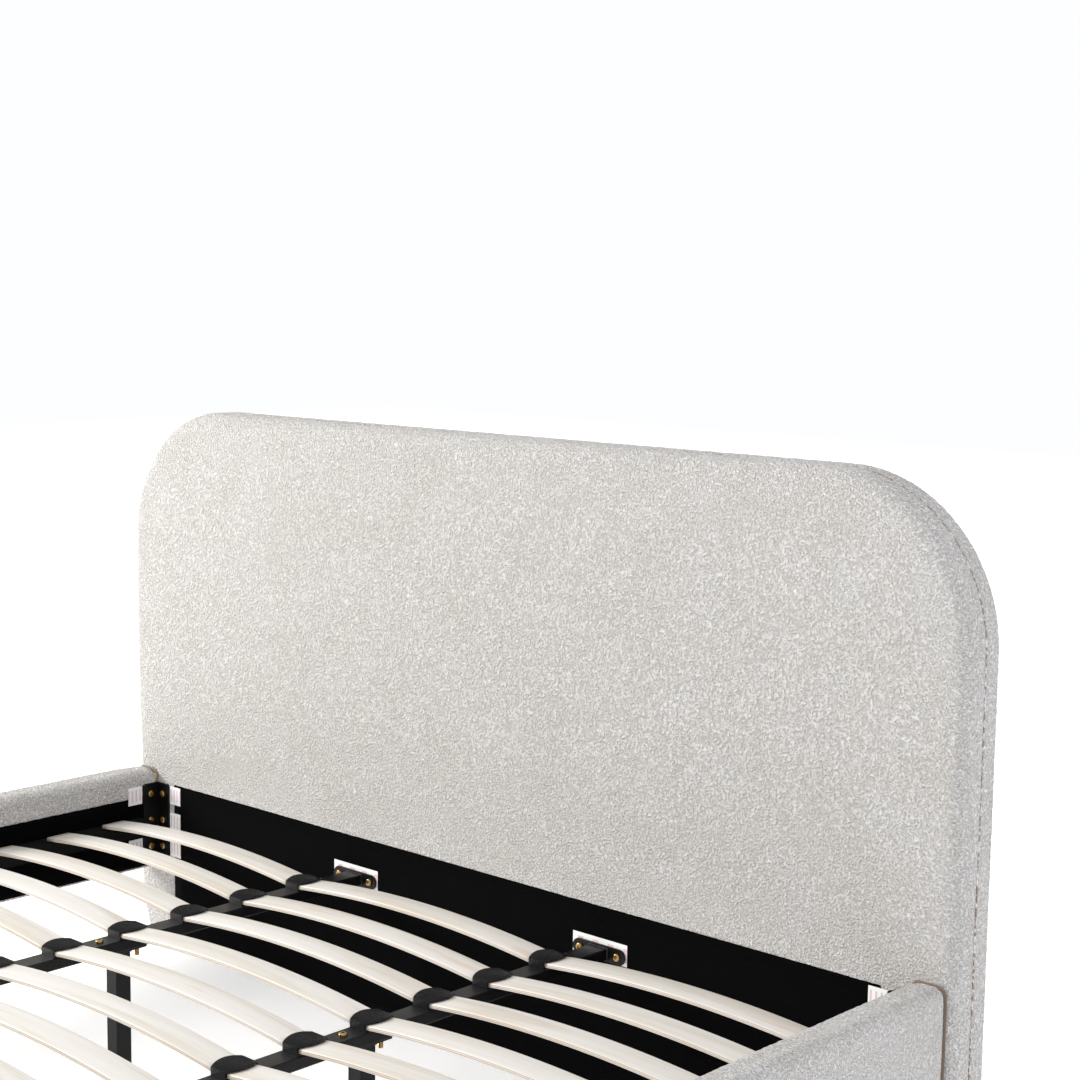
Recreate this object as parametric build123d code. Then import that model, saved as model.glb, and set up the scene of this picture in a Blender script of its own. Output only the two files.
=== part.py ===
from build123d import *
import os

# Upholstered headboard bed for a 1.83 x 2.03 m mattress.
# X runs across the bed, +Y points to the head end, +Z is up.
# The origin is on the floor, at the centre of the bed's footprint. Millimetres.

# Overall sizes
INNER_WIDTH = 1850.0            # between the side rails
INNER_LENGTH = 2050.0           # between the headboard and the footboard
HEADBOARD_WIDTH = 2010.0
HEADBOARD_HEIGHT = 1127.0
HEADBOARD_THICKNESS = 82.0
HEADBOARD_CORNER = 266.0        # radius of the big top corners
HEADBOARD_ROLL = 32.0           # radius of the soft front edge
SEAM_DEPTH = 44.0               # from the front face back to the side seam
FOOTBOARD_CORNER = 60.0
RAIL_THICKNESS = 64.0           # also the footboard's thickness
RAIL_BOTTOM = 160.0
RAIL_TOP = 371.0                # also the footboard's height
RAIL_TOP_ROLL = 14.0
RAIL_BOTTOM_ROLL = 6.0
PANEL_BOTTOM = 5.0              # the boards stand on glides of this height
TOE_HEIGHT = 140.0              # the panels' sides draw in below this height
TOE_TAPER = 30.0

# Upholstery
COVER = 2.0                     # thickness of the cover fabric
LINER = 1.5                     # thickness of the black lining
GAP = 0.3                       # clearance between neighbouring layers
LINER_HALF_WIDTH = 871.0
HEAD_LINER_TOP = 344.0
RAIL_LINER_TOP = 316.0
LINER_BOTTOM = 8.0
FOAM_BACK = 20.0                # depth of the foam's back below the headboard's face
PANEL_BACK = 25.3
FRAME_BACK = 78.0

# Timber
BOARD = 20.0
BOARD_HALF_WIDTH = 940.0
STUD = 40.0                     # width of the uprights in the panels
STUD_X = 600.0
STILE_INNER_X = 925.0
RAIL_CORE_X = 49.0              # depth of the hollow timber rail
RAIL_CORE_TOP = 359.0
LEDGER_TOP = 273.0
LEDGER_WIDTH = 40.0
LEDGER_HEIGHT = 30.0

# Corner brackets and their bolts
FLANGE = 40.0
BRACKET_PLATE = 4.0
BRACKET_BOTTOM = 187.0
BRACKET_TOP = 342.0
BRACKET_BOLT_Z = (208.5, 264.5, 320.5)
BRACKET_BOLT_INSET = 22.0       # from the corner to the bolts
BOLT_RADIUS = 4.0
BOLT_HEAD_RADIUS = 7.0
BOLT_HEAD_HEIGHT = 4.4
BOLT_HOLE = 4.5
FRAME_BOLT_LENGTH = 35.0
NUT_BARREL_RADIUS = 5.0
NUT_BARREL_LENGTH = 10.0
NUT_FLANGE_RADIUS = 10.0
NUT_FLANGE = 1.6
NUT_BORE = 4.1
NUT_HOLE = 5.2

# Beams, legs and levelling feet
BEAM_X = 308.0
BEAM_WIDTH = 40.0
BEAM_HEIGHT = 20.0
BEAM_TOP = 274.0
TUBE_WALL = 1.5
PLATE_LENGTH = 116.0
PLATE_HEIGHT = 28.0
PLATE = 4.0
PLATE_BOLT_X = 42.0
LEG_WIDTH = 30.0
LEG_BOTTOM = 22.0
LEG_FLANGE = (36.0, 98.0, 3.0)
LEG_BOLT_Y = 38.5
LEG_BOLT_LENGTH = 40.0
LEG_AFTER_ROW = (3, 10)         # each leg stands just past these slat rows
LEG_ROW_OFFSET = 20.0
PLUG_COLLAR = 3.0
PLUG_DEPTH = 20.0
PLUG_BORE = 4.08
FOOT_RADIUS = 18.0
FOOT_HEIGHT = 7.0
FOOT_HEX = 8.5
FOOT_HEX_HEIGHT = 4.0
FOOT_STEM_TOP = 50.0

# Slats and their holders
SLAT_WIDTH = 53.0
SLAT = 8.0
SLAT_CROWN = 18.0
SLAT_ROWS = 15
FIRST_ROW = 131.0               # from the headboard's face to the first slat's centre
ROW_PITCH = 132.5
SLAT_OUTER_END = 904.0
SLAT_END_GAP = 9.0              # from a beam's centreline to the slat's end
SLAT_SEAT = 2.0                 # the slat ends sit this far above the beam
SLAT_PLAY = 0.3
HOLDER_LENGTH = 58.0
HOLDER_HALF_WIDTH = 17.5
HOLDER_BULGE = 9.5
HOLDER_EDGE_HEIGHT = 12.5
HOLDER_HEIGHT = 15.5
CHANNEL = (16.0, 52.0, 5.0)     # hollow under a holder that clears a leg bolt's head
PEG_RADIUS = 3.8
PEG_DEPTH = 12.0
PEG_HOLE = 4.0

# Labels and glides
LABEL = 0.2
LABEL_WIDTH = 35.0
LABEL_HEIGHT = 38.0
BEAM_LABEL_WIDTH = 122.0
GLIDE_RADIUS = 12.0
GLIDE_X = (300.0, 900.0)

# Places worked out from the sizes above
INNER_X = INNER_WIDTH / 2
TOTAL_LENGTH = HEADBOARD_THICKNESS + INNER_LENGTH + RAIL_THICKNESS
HEAD_FACE = TOTAL_LENGTH / 2 - HEADBOARD_THICKNESS
FOOT_FACE = -TOTAL_LENGTH / 2 + RAIL_THICKNESS
ROW_Y = [HEAD_FACE - FIRST_ROW - ROW_PITCH * row for row in range(SLAT_ROWS)]
LEG_Y = [ROW_Y[row] - LEG_ROW_OFFSET for row in LEG_AFTER_ROW]
BEAM_Z = BEAM_TOP - BEAM_HEIGHT / 2
LEG_TOP = BEAM_TOP - BEAM_HEIGHT - LEG_FLANGE[2]
SIDES = {"left": -1, "right": 1}
ENDS = {"head": 1, "foot": -1}
BASE_UP = (Align.CENTER, Align.CENTER, Align.MIN)
ALONG_X = Rot(0, 90, 0)
ALONG_Y = Rot(-90, 0, 0)
DOWN = Rot(180, 0, 0)


def write(node, shape):
    """Write one sub-part under its node's name."""
    export_step(shape, f"parts/{node}.step")


def group(solids):
    """Several separate solids that share one node."""
    return Compound(children=list(solids))


def block(x, y, z):
    """A box from its low and high limits on each axis."""
    centre = ((x[0] + x[1]) / 2, (y[0] + y[1]) / 2, (z[0] + z[1]) / 2)
    return Pos(*centre) * Box(x[1] - x[0], y[1] - y[0], z[1] - z[0])


def slab(face, y_low, y_high):
    """A face drawn as width and height, thick from y_low to y_high."""
    return Pos(0, y_high, 0) * Rot(90, 0, 0) * extrude(face, y_high - y_low)


def on_side(shape, side):
    """A shape drawn on the +X side, moved to the side that is asked for."""
    return shape if side > 0 else mirror(shape, about=Plane.YZ)


def at_end(shape, end):
    """A shape drawn with Y = 0 on the headboard's face, moved to either end's inner face."""
    if end > 0:
        return Pos(0, HEAD_FACE, 0) * shape
    return Pos(0, FOOT_FACE, 0) * mirror(shape, about=Plane.XZ)


# ---------------------------------------------------------------- panel outlines

def panel_outline(height, corner, inset):
    """Front view of a headboard or footboard, stepped in by inset on every edge."""
    half = HEADBOARD_WIDTH / 2 - inset
    top = height - inset
    low = PANEL_BOTTOM + inset
    radius = corner - inset
    toe = half - TOE_TAPER
    right_toe = TangentArc((half, TOE_HEIGHT), (toe, low), tangent=(0, -1))
    left_toe = TangentArc((-half, TOE_HEIGHT), (-toe, low), tangent=(0, -1))
    right_side = Line((half, TOE_HEIGHT), (half, top - radius))
    left_side = Line((-half, TOE_HEIGHT), (-half, top - radius))
    right_corner = TangentArc((half, top - radius), (half - radius, top), tangent=(0, 1))
    left_corner = TangentArc((-half, top - radius), (-half + radius, top), tangent=(0, 1))
    crest = Line((-half + radius, top), (half - radius, top))
    base = Line((-toe, low), (toe, low))
    edges = [right_toe, right_side, right_corner, crest, left_corner, left_side, left_toe, base]
    return make_face(edges)


def rolled(solid, y_face, radius):
    """Round the edges of the face at y_face, apart from the straight one at the bottom."""
    edges = solid.edges().filter_by_position(Axis.Y, y_face - 0.01, y_face + 0.01)
    edges = edges.sort_by(Axis.Z)[1:]
    return fillet(edges, radius)


def window_grid(rows):
    """Openings between the uprights of a panel's frame, one row of them for each height range."""
    columns = [(STUD / 2, STUD_X - STUD / 2), (STUD_X + STUD / 2, STILE_INNER_X)]
    for low, high in rows:
        for inner, outer in columns:
            width = outer - inner
            middle = (inner + outer) / 2
            for side in (-1, 1):
                yield Pos(side * middle, (low + high) / 2) * Rectangle(width, high - low)


# ---------------------------------------------------------------- headboard

def head_outline(inset):
    """The headboard's outline, stepped in."""
    return panel_outline(HEADBOARD_HEIGHT, HEADBOARD_CORNER, inset)


def head_form(inset):
    """The rolled front half of the headboard, inset from its finished surface."""
    body = slab(head_outline(inset), HEAD_FACE + inset, HEAD_FACE + SEAM_DEPTH)
    return rolled(body, HEAD_FACE + inset, HEADBOARD_ROLL - inset)


def headboard_cover():
    """Fabric over the front and the rolled edge, back to the side seam."""
    liner_window = block((-LINER_HALF_WIDTH, LINER_HALF_WIDTH), (HEAD_FACE - 1, HEAD_FACE + 3),
                         (0, HEAD_LINER_TOP))
    cover = head_form(0) - head_form(COVER) - liner_window
    for hole in frame_holes(1):
        cover -= hole
    return cover


def headboard_foam():
    """Foam pad behind the cover, above the lined part."""
    depth = HEAD_FACE + FOAM_BACK
    half = HEADBOARD_WIDTH / 2
    cut_back = block((-half, half), (depth, depth + 50), (0, HEADBOARD_HEIGHT))
    cut_low = block((-half, half), (HEAD_FACE, depth + 50), (0, HEAD_LINER_TOP + COVER))
    return head_form(COVER + GAP) - cut_back - cut_low


def headboard_panel():
    """Thin plywood sheet that the foam is glued to."""
    sheet = slab(head_outline(6), HEAD_FACE + FOAM_BACK + GAP, HEAD_FACE + PANEL_BACK)
    half = HEADBOARD_WIDTH / 2
    cut_low = block((-half, half), (HEAD_FACE, HEAD_FACE + 50), (0, HEAD_LINER_TOP + COVER))
    return sheet - cut_low


def headboard_lower_board():
    """Solid board behind the lining, which takes the bracket and beam bolts."""
    front = HEAD_FACE + COVER + GAP
    board = block((-BOARD_HALF_WIDTH, BOARD_HALF_WIDTH), (front, front + BOARD),
                  (LINER_BOTTOM, HEAD_LINER_TOP))
    for hole in frame_holes(1):
        board -= hole
    return board


def headboard_frame():
    """Ladder of timber rails and uprights inside the headboard."""
    windows = list(window_grid([(60, 336), (384, 700), (740, 1063)]))
    inner = head_outline(64)
    openings = windows[0]
    for window in windows[1:]:
        openings += window
    return slab(head_outline(4) - (openings & inner), HEAD_FACE + PANEL_BACK + GAP,
                HEAD_FACE + FRAME_BACK)


def headboard_edge_band():
    """Fabric strip around the edge, from the seam to the back."""
    ring = head_outline(0) - head_outline(COVER)
    return slab(ring, HEAD_FACE + SEAM_DEPTH + GAP, HEAD_FACE + HEADBOARD_THICKNESS)


def headboard_back_cover():
    """Plain fabric stapled over the back."""
    back = HEAD_FACE + HEADBOARD_THICKNESS - GAP
    return slab(head_outline(COVER + GAP), back - COVER, back)


def headboard_liner():
    """Black lining over the lower front."""
    liner = block((-LINER_HALF_WIDTH + GAP, LINER_HALF_WIDTH - GAP),
                  (HEAD_FACE + GAP, HEAD_FACE + GAP + LINER), (LINER_BOTTOM, HEAD_LINER_TOP - GAP))
    for hole in frame_holes(1):
        liner -= hole
    return liner


# ---------------------------------------------------------------- footboard

def foot_outline(inset):
    """The footboard's outline, stepped in."""
    return panel_outline(RAIL_TOP, FOOTBOARD_CORNER, inset)


def foot_form(inset):
    """The footboard's rounded body, inset from its finished surface."""
    outer = FOOT_FACE - RAIL_THICKNESS + inset
    inner = FOOT_FACE - inset
    body = slab(foot_outline(inset), outer, inner)
    body = rolled(body, outer, RAIL_TOP_ROLL + COVER - inset)
    return rolled(body, inner, RAIL_BOTTOM_ROLL - inset)


def footboard_cover():
    """Fabric round the footboard, open where the lining goes."""
    liner_window = block((-LINER_HALF_WIDTH, LINER_HALF_WIDTH), (FOOT_FACE - 3, FOOT_FACE + 1),
                         (0, RAIL_LINER_TOP))
    cover = foot_form(0) - foot_form(COVER) - liner_window
    for hole in frame_holes(-1):
        cover -= hole
    return cover


def foot_core(inset):
    """Outer shape of the footboard's timber."""
    depth = BOARD + 27.0
    front = FOOT_FACE - COVER - GAP
    return slab(foot_outline(COVER + 12 + inset), front - depth + inset, front)


def footboard_foam():
    """Foam over the footboard's outer face and edges."""
    return foot_form(COVER + GAP) - foot_core(-GAP)


def footboard_timber():
    """Board with a ladder frame glued behind it."""
    windows = list(window_grid([(60, 336)]))
    front = FOOT_FACE - COVER - GAP - BOARD
    timber = foot_core(0)
    for window in windows:
        timber -= slab(window, front - 40, front)
    for hole in frame_holes(-1):
        timber -= hole
    return timber


def footboard_liner():
    """Black lining over the footboard's inner face."""
    liner = block((-LINER_HALF_WIDTH + GAP, LINER_HALF_WIDTH - GAP),
                  (FOOT_FACE - GAP - LINER, FOOT_FACE - GAP), (LINER_BOTTOM, RAIL_LINER_TOP - GAP))
    for hole in frame_holes(-1):
        liner -= hole
    return liner


# ---------------------------------------------------------------- side rails

def rail_section(inset):
    """Rounded cross-section of the right-hand rail, stepped in."""
    height = RAIL_TOP - RAIL_BOTTOM
    outline = Rectangle(RAIL_THICKNESS - 2 * inset, height - 2 * inset)
    outline = Pos(INNER_X + RAIL_THICKNESS / 2, RAIL_BOTTOM + height / 2) * outline
    outline = fillet(outline.vertices().group_by(Axis.Y)[-1], RAIL_TOP_ROLL - inset)
    return fillet(outline.vertices().group_by(Axis.Y)[0], RAIL_BOTTOM_ROLL - inset)


def rail_length(section, trim=0.5):
    """A rail section drawn out between the headboard and the footboard."""
    return slab(section, FOOT_FACE + trim, HEAD_FACE - trim)


def rectangle_between(x, z):
    """A rectangle from its limits across and up."""
    return Pos((x[0] + x[1]) / 2, (z[0] + z[1]) / 2) * Rectangle(x[1] - x[0], z[1] - z[0])


def rail_cover():
    """Fabric round the rail, open on the inner face below the turned-down edge."""
    window = rectangle_between((INNER_X - 1, INNER_X + COVER + 0.5),
                               (RAIL_BOTTOM + RAIL_BOTTOM_ROLL, RAIL_LINER_TOP))
    cover = rail_length(rail_section(0) - rail_section(COVER) - window)
    for hole in rail_holes():
        cover -= hole
    return cover


def rail_core_outline():
    """Outer rectangle of the timber rail."""
    start = INNER_X + COVER + GAP
    return rectangle_between((start, start + RAIL_CORE_X), (RAIL_BOTTOM + COVER + GAP, RAIL_CORE_TOP))


def rail_foam():
    """Foam over the rail's top and outer face."""
    corner = rectangle_between((0, INNER_X + COVER + RAIL_CORE_X + 2 * GAP),
                               (0, RAIL_CORE_TOP + GAP))
    return rail_length(rail_section(COVER + GAP) - corner)


def rail_timber():
    """Hollow timber rail: a thick inner board, a thin outer one and battens."""
    start = INNER_X + COVER + GAP
    hollow = rectangle_between((start + BOARD, start + RAIL_CORE_X - 9),
                               (RAIL_BOTTOM + 24, RAIL_CORE_TOP - 22))
    timber = rail_length((rail_core_outline() & rail_section(COVER + GAP)) - hollow)
    for hole in rail_holes():
        timber -= hole
    return timber


def rail_liner():
    """Black lining on the rail's inner face."""
    liner = block((INNER_X + GAP, INNER_X + GAP + LINER), (FOOT_FACE + 1, HEAD_FACE - 1),
                  (RAIL_BOTTOM + RAIL_BOTTOM_ROLL + GAP, RAIL_LINER_TOP - GAP))
    for hole in rail_holes():
        liner -= hole
    return liner


def slat_ledger():
    """Batten along the rail that carries the slats' outer ends."""
    reach = FLANGE + 5
    return block((INNER_X - LEDGER_WIDTH, INNER_X), (FOOT_FACE + reach, HEAD_FACE - reach),
                 (LEDGER_TOP - LEDGER_HEIGHT, LEDGER_TOP))


# ---------------------------------------------------------------- brackets and fasteners

def bolt(length):
    """Button-head socket bolt along +Z, its bearing face at Z = 0."""
    head = Pos(0, 0, -BOLT_HEAD_HEIGHT) * Cylinder(BOLT_HEAD_RADIUS, BOLT_HEAD_HEIGHT, align=BASE_UP)
    head = fillet(head.edges().sort_by(Axis.Z)[0], 2.8)
    socket = Pos(0, 0, -BOLT_HEAD_HEIGHT) * extrude(RegularPolygon(2.9, 6), 2.4)
    return head - socket + Cylinder(BOLT_RADIUS, length, align=BASE_UP)


def tee_nut():
    """Tee nut whose flange starts at Z = 0 and whose barrel points to -Z."""
    flange = Cylinder(NUT_FLANGE_RADIUS, NUT_FLANGE, align=BASE_UP)
    barrel = Pos(0, 0, -NUT_BARREL_LENGTH) * Cylinder(NUT_BARREL_RADIUS, NUT_BARREL_LENGTH,
                                                      align=BASE_UP)
    bore = Pos(0, 0, -20) * Cylinder(NUT_BORE, 40, align=BASE_UP)
    return flange + barrel - bore


def panel_bolt_spots():
    """Where bolts enter an end panel, as (x, z)."""
    across = [INNER_X - BRACKET_BOLT_INSET, -INNER_X + BRACKET_BOLT_INSET]
    spots = [(x, z) for x in across for z in BRACKET_BOLT_Z]
    for side in (-1, 1):
        for step in (-1, 1):
            spots.append((side * BEAM_X + step * PLATE_BOLT_X, BEAM_Z))
    return spots


def rail_bolt_spots():
    """Where bolts enter the right-hand rail, as (y, z)."""
    along = [HEAD_FACE - BRACKET_BOLT_INSET, FOOT_FACE + BRACKET_BOLT_INSET]
    return [(y, z) for y in along for z in BRACKET_BOLT_Z]


def frame_holes(end):
    """Bolt holes through an end panel."""
    hole = ALONG_Y * Pos(0, 0, -BOARD) * Cylinder(NUT_HOLE, 2.3 * BOARD, align=BASE_UP)
    return [at_end(Pos(x, 0, z) * hole, end) for x, z in panel_bolt_spots()]


def rail_holes():
    """Bolt holes through the right-hand rail's inner board."""
    hole = ALONG_X * Cylinder(NUT_HOLE, BOARD + 8, align=BASE_UP)
    return [Pos(INNER_X - 1, y, z) * hole for y, z in rail_bolt_spots()]


def frame_bolts():
    """Every bolt through the corner brackets and the beam plates."""
    for end in (-1, 1):
        for x, z in panel_bolt_spots():
            yield at_end(Pos(x, -BRACKET_PLATE, z) * ALONG_Y * bolt(FRAME_BOLT_LENGTH), end)
    for side in (-1, 1):
        for y, z in rail_bolt_spots():
            spot = Pos(INNER_X - BRACKET_PLATE, y, z)
            yield on_side(spot * ALONG_X * bolt(FRAME_BOLT_LENGTH), side)


def tee_nuts():
    """The nuts that the frame bolts screw into."""
    depth = COVER + GAP + BOARD
    for end in (-1, 1):
        for x, z in panel_bolt_spots():
            yield at_end(Pos(x, depth, z) * ALONG_Y * tee_nut(), end)
    for side in (-1, 1):
        for y, z in rail_bolt_spots():
            yield on_side(Pos(INNER_X + depth, y, z) * ALONG_X * tee_nut(), side)


def corner_bracket(side, end):
    """Steel angle that holds a rail to an end panel."""
    height = (BRACKET_BOTTOM, BRACKET_TOP)
    panel_flange = block((INNER_X - FLANGE, INNER_X), (-BRACKET_PLATE, 0), height)
    rail_flange = block((INNER_X - BRACKET_PLATE, INNER_X), (-FLANGE, 0), height)
    bracket = panel_flange + rail_flange
    far = bracket.edges().filter_by(Axis.Y).group_by(Axis.X)[0]
    near = bracket.edges().filter_by(Axis.X).group_by(Axis.Y)[0]
    bracket = fillet(far + near, 6)
    for z in BRACKET_BOLT_Z:
        bore = Pos(0, 0, -10) * Cylinder(BOLT_HOLE, 20, align=BASE_UP)
        bracket -= Pos(INNER_X - BRACKET_BOLT_INSET, 0, z) * ALONG_Y * bore
        bracket -= Pos(INNER_X, -BRACKET_BOLT_INSET, z) * ALONG_X * bore
    return at_end(on_side(bracket, side), end)


def labels():
    """Plain paper labels beside the brackets and behind the beam plates."""
    for end in (-1, 1):
        for side in (-1, 1):
            for z in BRACKET_BOLT_Z:
                height = (z - LABEL_HEIGHT / 2, z + LABEL_HEIGHT / 2)
                edge = INNER_X - FLANGE - 1
                on_panel = block((edge - LABEL_WIDTH, edge), (-LABEL, 0), height)
                yield at_end(on_side(on_panel, side), end)
                on_rail = block((INNER_X - LABEL, INNER_X),
                                (-FLANGE - 1 - LABEL_WIDTH, -FLANGE - 1), height)
                if z != BRACKET_BOLT_Z[1]:
                    yield at_end(on_side(on_rail, side), end)
            sheet = block((BEAM_X - BEAM_LABEL_WIDTH / 2, BEAM_X + BEAM_LABEL_WIDTH / 2),
                          (0, LABEL), (BEAM_Z - 14, BEAM_Z + 24))
            for step in (-1, 1):
                bore = ALONG_Y * Pos(0, 0, -5) * Cylinder(BOLT_HOLE, 10, align=BASE_UP)
                sheet -= Pos(BEAM_X + step * PLATE_BOLT_X, 0, BEAM_Z) * bore
            yield at_end(on_side(sheet, side), end)


# ---------------------------------------------------------------- beams, legs and feet

def end_plate():
    """Oblong plate welded to a beam's end, on the headboard's face."""
    outline = SlotOverall(PLATE_LENGTH, PLATE_HEIGHT)
    for step in (-1, 1):
        outline -= Pos(step * PLATE_BOLT_X, 0) * Circle(BOLT_HOLE)
    return Pos(BEAM_X, 0, BEAM_Z) * slab(outline, -PLATE, 0)


def support_beam(side):
    """Rectangular steel tube with a plate on each end."""
    outer = Rectangle(BEAM_WIDTH, BEAM_HEIGHT)
    outer = fillet(outer.vertices(), 2)
    inner = Rectangle(BEAM_WIDTH - 2 * TUBE_WALL, BEAM_HEIGHT - 2 * TUBE_WALL)
    tube = Pos(BEAM_X, 0, BEAM_Z) * slab(outer - inner, FOOT_FACE + PLATE, HEAD_FACE - PLATE)
    for y in ROW_Y:
        tube -= Pos(BEAM_X, y, BEAM_Z) * Cylinder(PEG_HOLE, BEAM_HEIGHT, align=BASE_UP)
    for y in LEG_Y:
        for step in (-1, 1):
            tube -= Pos(BEAM_X, y + step * LEG_BOLT_Y, BEAM_Z) * Cylinder(BOLT_HOLE, 2 * BEAM_HEIGHT)
    return on_side(tube + at_end(end_plate(), 1) + at_end(end_plate(), -1), side)


def support_leg(side, y):
    """Square tube with a drilled flange on top."""
    flange = Box(LEG_FLANGE[0], LEG_FLANGE[1], LEG_FLANGE[2], align=BASE_UP)
    flange = fillet(flange.edges().filter_by(Axis.Z), 5)
    for step in (-1, 1):
        flange -= Pos(0, step * LEG_BOLT_Y, 0) * Cylinder(BOLT_RADIUS + 0.2, 20)
    height = LEG_TOP - LEG_BOTTOM
    tube = Box(LEG_WIDTH, LEG_WIDTH, height, align=BASE_UP)
    tube = fillet(tube.edges().filter_by(Axis.Z), 2)
    hollow = LEG_WIDTH - 2 * TUBE_WALL
    tube -= Box(hollow, hollow, height, align=BASE_UP)
    leg = Pos(0, 0, LEG_TOP) * flange + Pos(0, 0, LEG_BOTTOM) * tube
    return Pos(side * BEAM_X, y, 0) * leg


def leg_bolts():
    """Bolts down through a beam into a leg's flange."""
    for side in (-1, 1):
        for y in LEG_Y:
            for step in (-1, 1):
                yield Pos(side * BEAM_X, y + step * LEG_BOLT_Y, BEAM_TOP) * DOWN * bolt(LEG_BOLT_LENGTH)


def leg_plugs():
    """Threaded plastic plugs in the legs' lower ends."""
    inside = LEG_WIDTH - 2 * TUBE_WALL - 2 * GAP
    for side in (-1, 1):
        for y in LEG_Y:
            plug = Box(inside, inside, PLUG_DEPTH, align=BASE_UP)
            collar = Pos(0, 0, -PLUG_COLLAR) * Box(LEG_WIDTH, LEG_WIDTH, PLUG_COLLAR, align=BASE_UP)
            plug = plug + collar - Cylinder(PLUG_BORE, 100)
            yield Pos(side * BEAM_X, y, LEG_BOTTOM) * plug


def levelling_foot(side, y):
    """Round pad on a threaded stem, which screws up and down in the plug."""
    pad = Cylinder(FOOT_RADIUS, FOOT_HEIGHT, align=BASE_UP)
    pad = fillet(pad.edges().sort_by(Axis.Z)[-1], 2)
    nut = Pos(0, 0, FOOT_HEIGHT) * extrude(RegularPolygon(FOOT_HEX, 6), FOOT_HEX_HEIGHT)
    stem = Cylinder(BOLT_RADIUS, FOOT_STEM_TOP, align=BASE_UP)
    return Pos(side * BEAM_X, y, 0) * (pad + nut + stem)


def floor_glides():
    """Hard plastic glides under the headboard and the footboard."""
    middle = (HEAD_FACE + HEADBOARD_THICKNESS / 2, FOOT_FACE - RAIL_THICKNESS / 2)
    for y in middle:
        for x in GLIDE_X:
            for side in (-1, 1):
                disc = Cylinder(GLIDE_RADIUS, PANEL_BOTTOM - GAP, align=BASE_UP)
                disc = fillet(disc.edges().sort_by(Axis.Z)[0], 1.5)
                yield Pos(side * x, y, 0) * disc


# ---------------------------------------------------------------- slats and holders

def bowed_strip(start, end, crown, thickness, width):
    """A bowed strip from one end's lower corner to the other's, rising to crown in the middle."""
    middle = ((start[0] + end[0]) / 2, (start[1] + end[1]) / 2 + crown)
    raised = [(x, z + thickness) for x, z in (start, middle, end)]
    lower = ThreePointArc(start, middle, end)
    upper = ThreePointArc(*raised)
    sides = [Line(start, raised[0]), Line(end, raised[2])]
    return slab(make_face([lower, upper] + sides), -width / 2, width / 2)


def slat(column, play=0.0):
    """One slat at Y = 0: column 0 lies between the beams, -1 and 1 reach a rail."""
    seat = BEAM_TOP + SLAT_SEAT - play
    inner_end = BEAM_X + SLAT_END_GAP - play
    thickness = SLAT + 2 * play
    width = SLAT_WIDTH + 2 * play
    if column == 0:
        reach = BEAM_X - SLAT_END_GAP + play
        return bowed_strip((-reach, seat), (reach, seat), SLAT_CROWN, thickness, width)
    strip = bowed_strip((inner_end, seat), (SLAT_OUTER_END, LEDGER_TOP + 0.2 - play), SLAT_CROWN,
                        thickness, width)
    return on_side(strip, column)


def slat_row(y):
    """The three slats that lie in line across the bed."""
    return group(Pos(0, y, 0) * slat(column) for column in (-1, 0, 1))


def holder_body():
    """Rounded double cap before its pockets are cut, on the right-hand beam."""
    half = HOLDER_LENGTH / 2
    wide = HOLDER_HALF_WIDTH + HOLDER_BULGE
    corners = [(HOLDER_HALF_WIDTH, -half), (HOLDER_HALF_WIDTH, half)]
    right = ThreePointArc(corners[0], (wide, 0), corners[1])
    left = ThreePointArc((-HOLDER_HALF_WIDTH, -half), (-wide, 0), (-HOLDER_HALF_WIDTH, half))
    front = Line((-HOLDER_HALF_WIDTH, -half), corners[0])
    back = Line((-HOLDER_HALF_WIDTH, half), corners[1])
    plan = extrude(make_face([right, left, front, back]), HOLDER_HEIGHT)
    crest = ThreePointArc((-half, HOLDER_EDGE_HEIGHT), (0, HOLDER_HEIGHT), (half, HOLDER_EDGE_HEIGHT))
    walls = Polyline([(half, HOLDER_EDGE_HEIGHT), (half, 0), (-half, 0), (-half, HOLDER_EDGE_HEIGHT)])
    side_view = Rot(0, 0, 90) * slab(make_face([crest, walls]), -wide, wide)
    return Pos(BEAM_X, 0, BEAM_TOP) * (plan & side_view)


def slat_holder():
    """Double cap that holds two slat ends on the right-hand beam, at Y = 0."""
    holder = holder_body() - slat(0, SLAT_PLAY) - slat(1, SLAT_PLAY)
    channel = Box(*CHANNEL, align=BASE_UP)
    peg = Pos(0, 0, -PEG_DEPTH) * Cylinder(PEG_RADIUS, PEG_DEPTH + CHANNEL[2] + 1, align=BASE_UP)
    return holder - Pos(BEAM_X, 0, BEAM_TOP) * channel + Pos(BEAM_X, 0, BEAM_TOP) * peg


# ---------------------------------------------------------------- the whole bed

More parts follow.
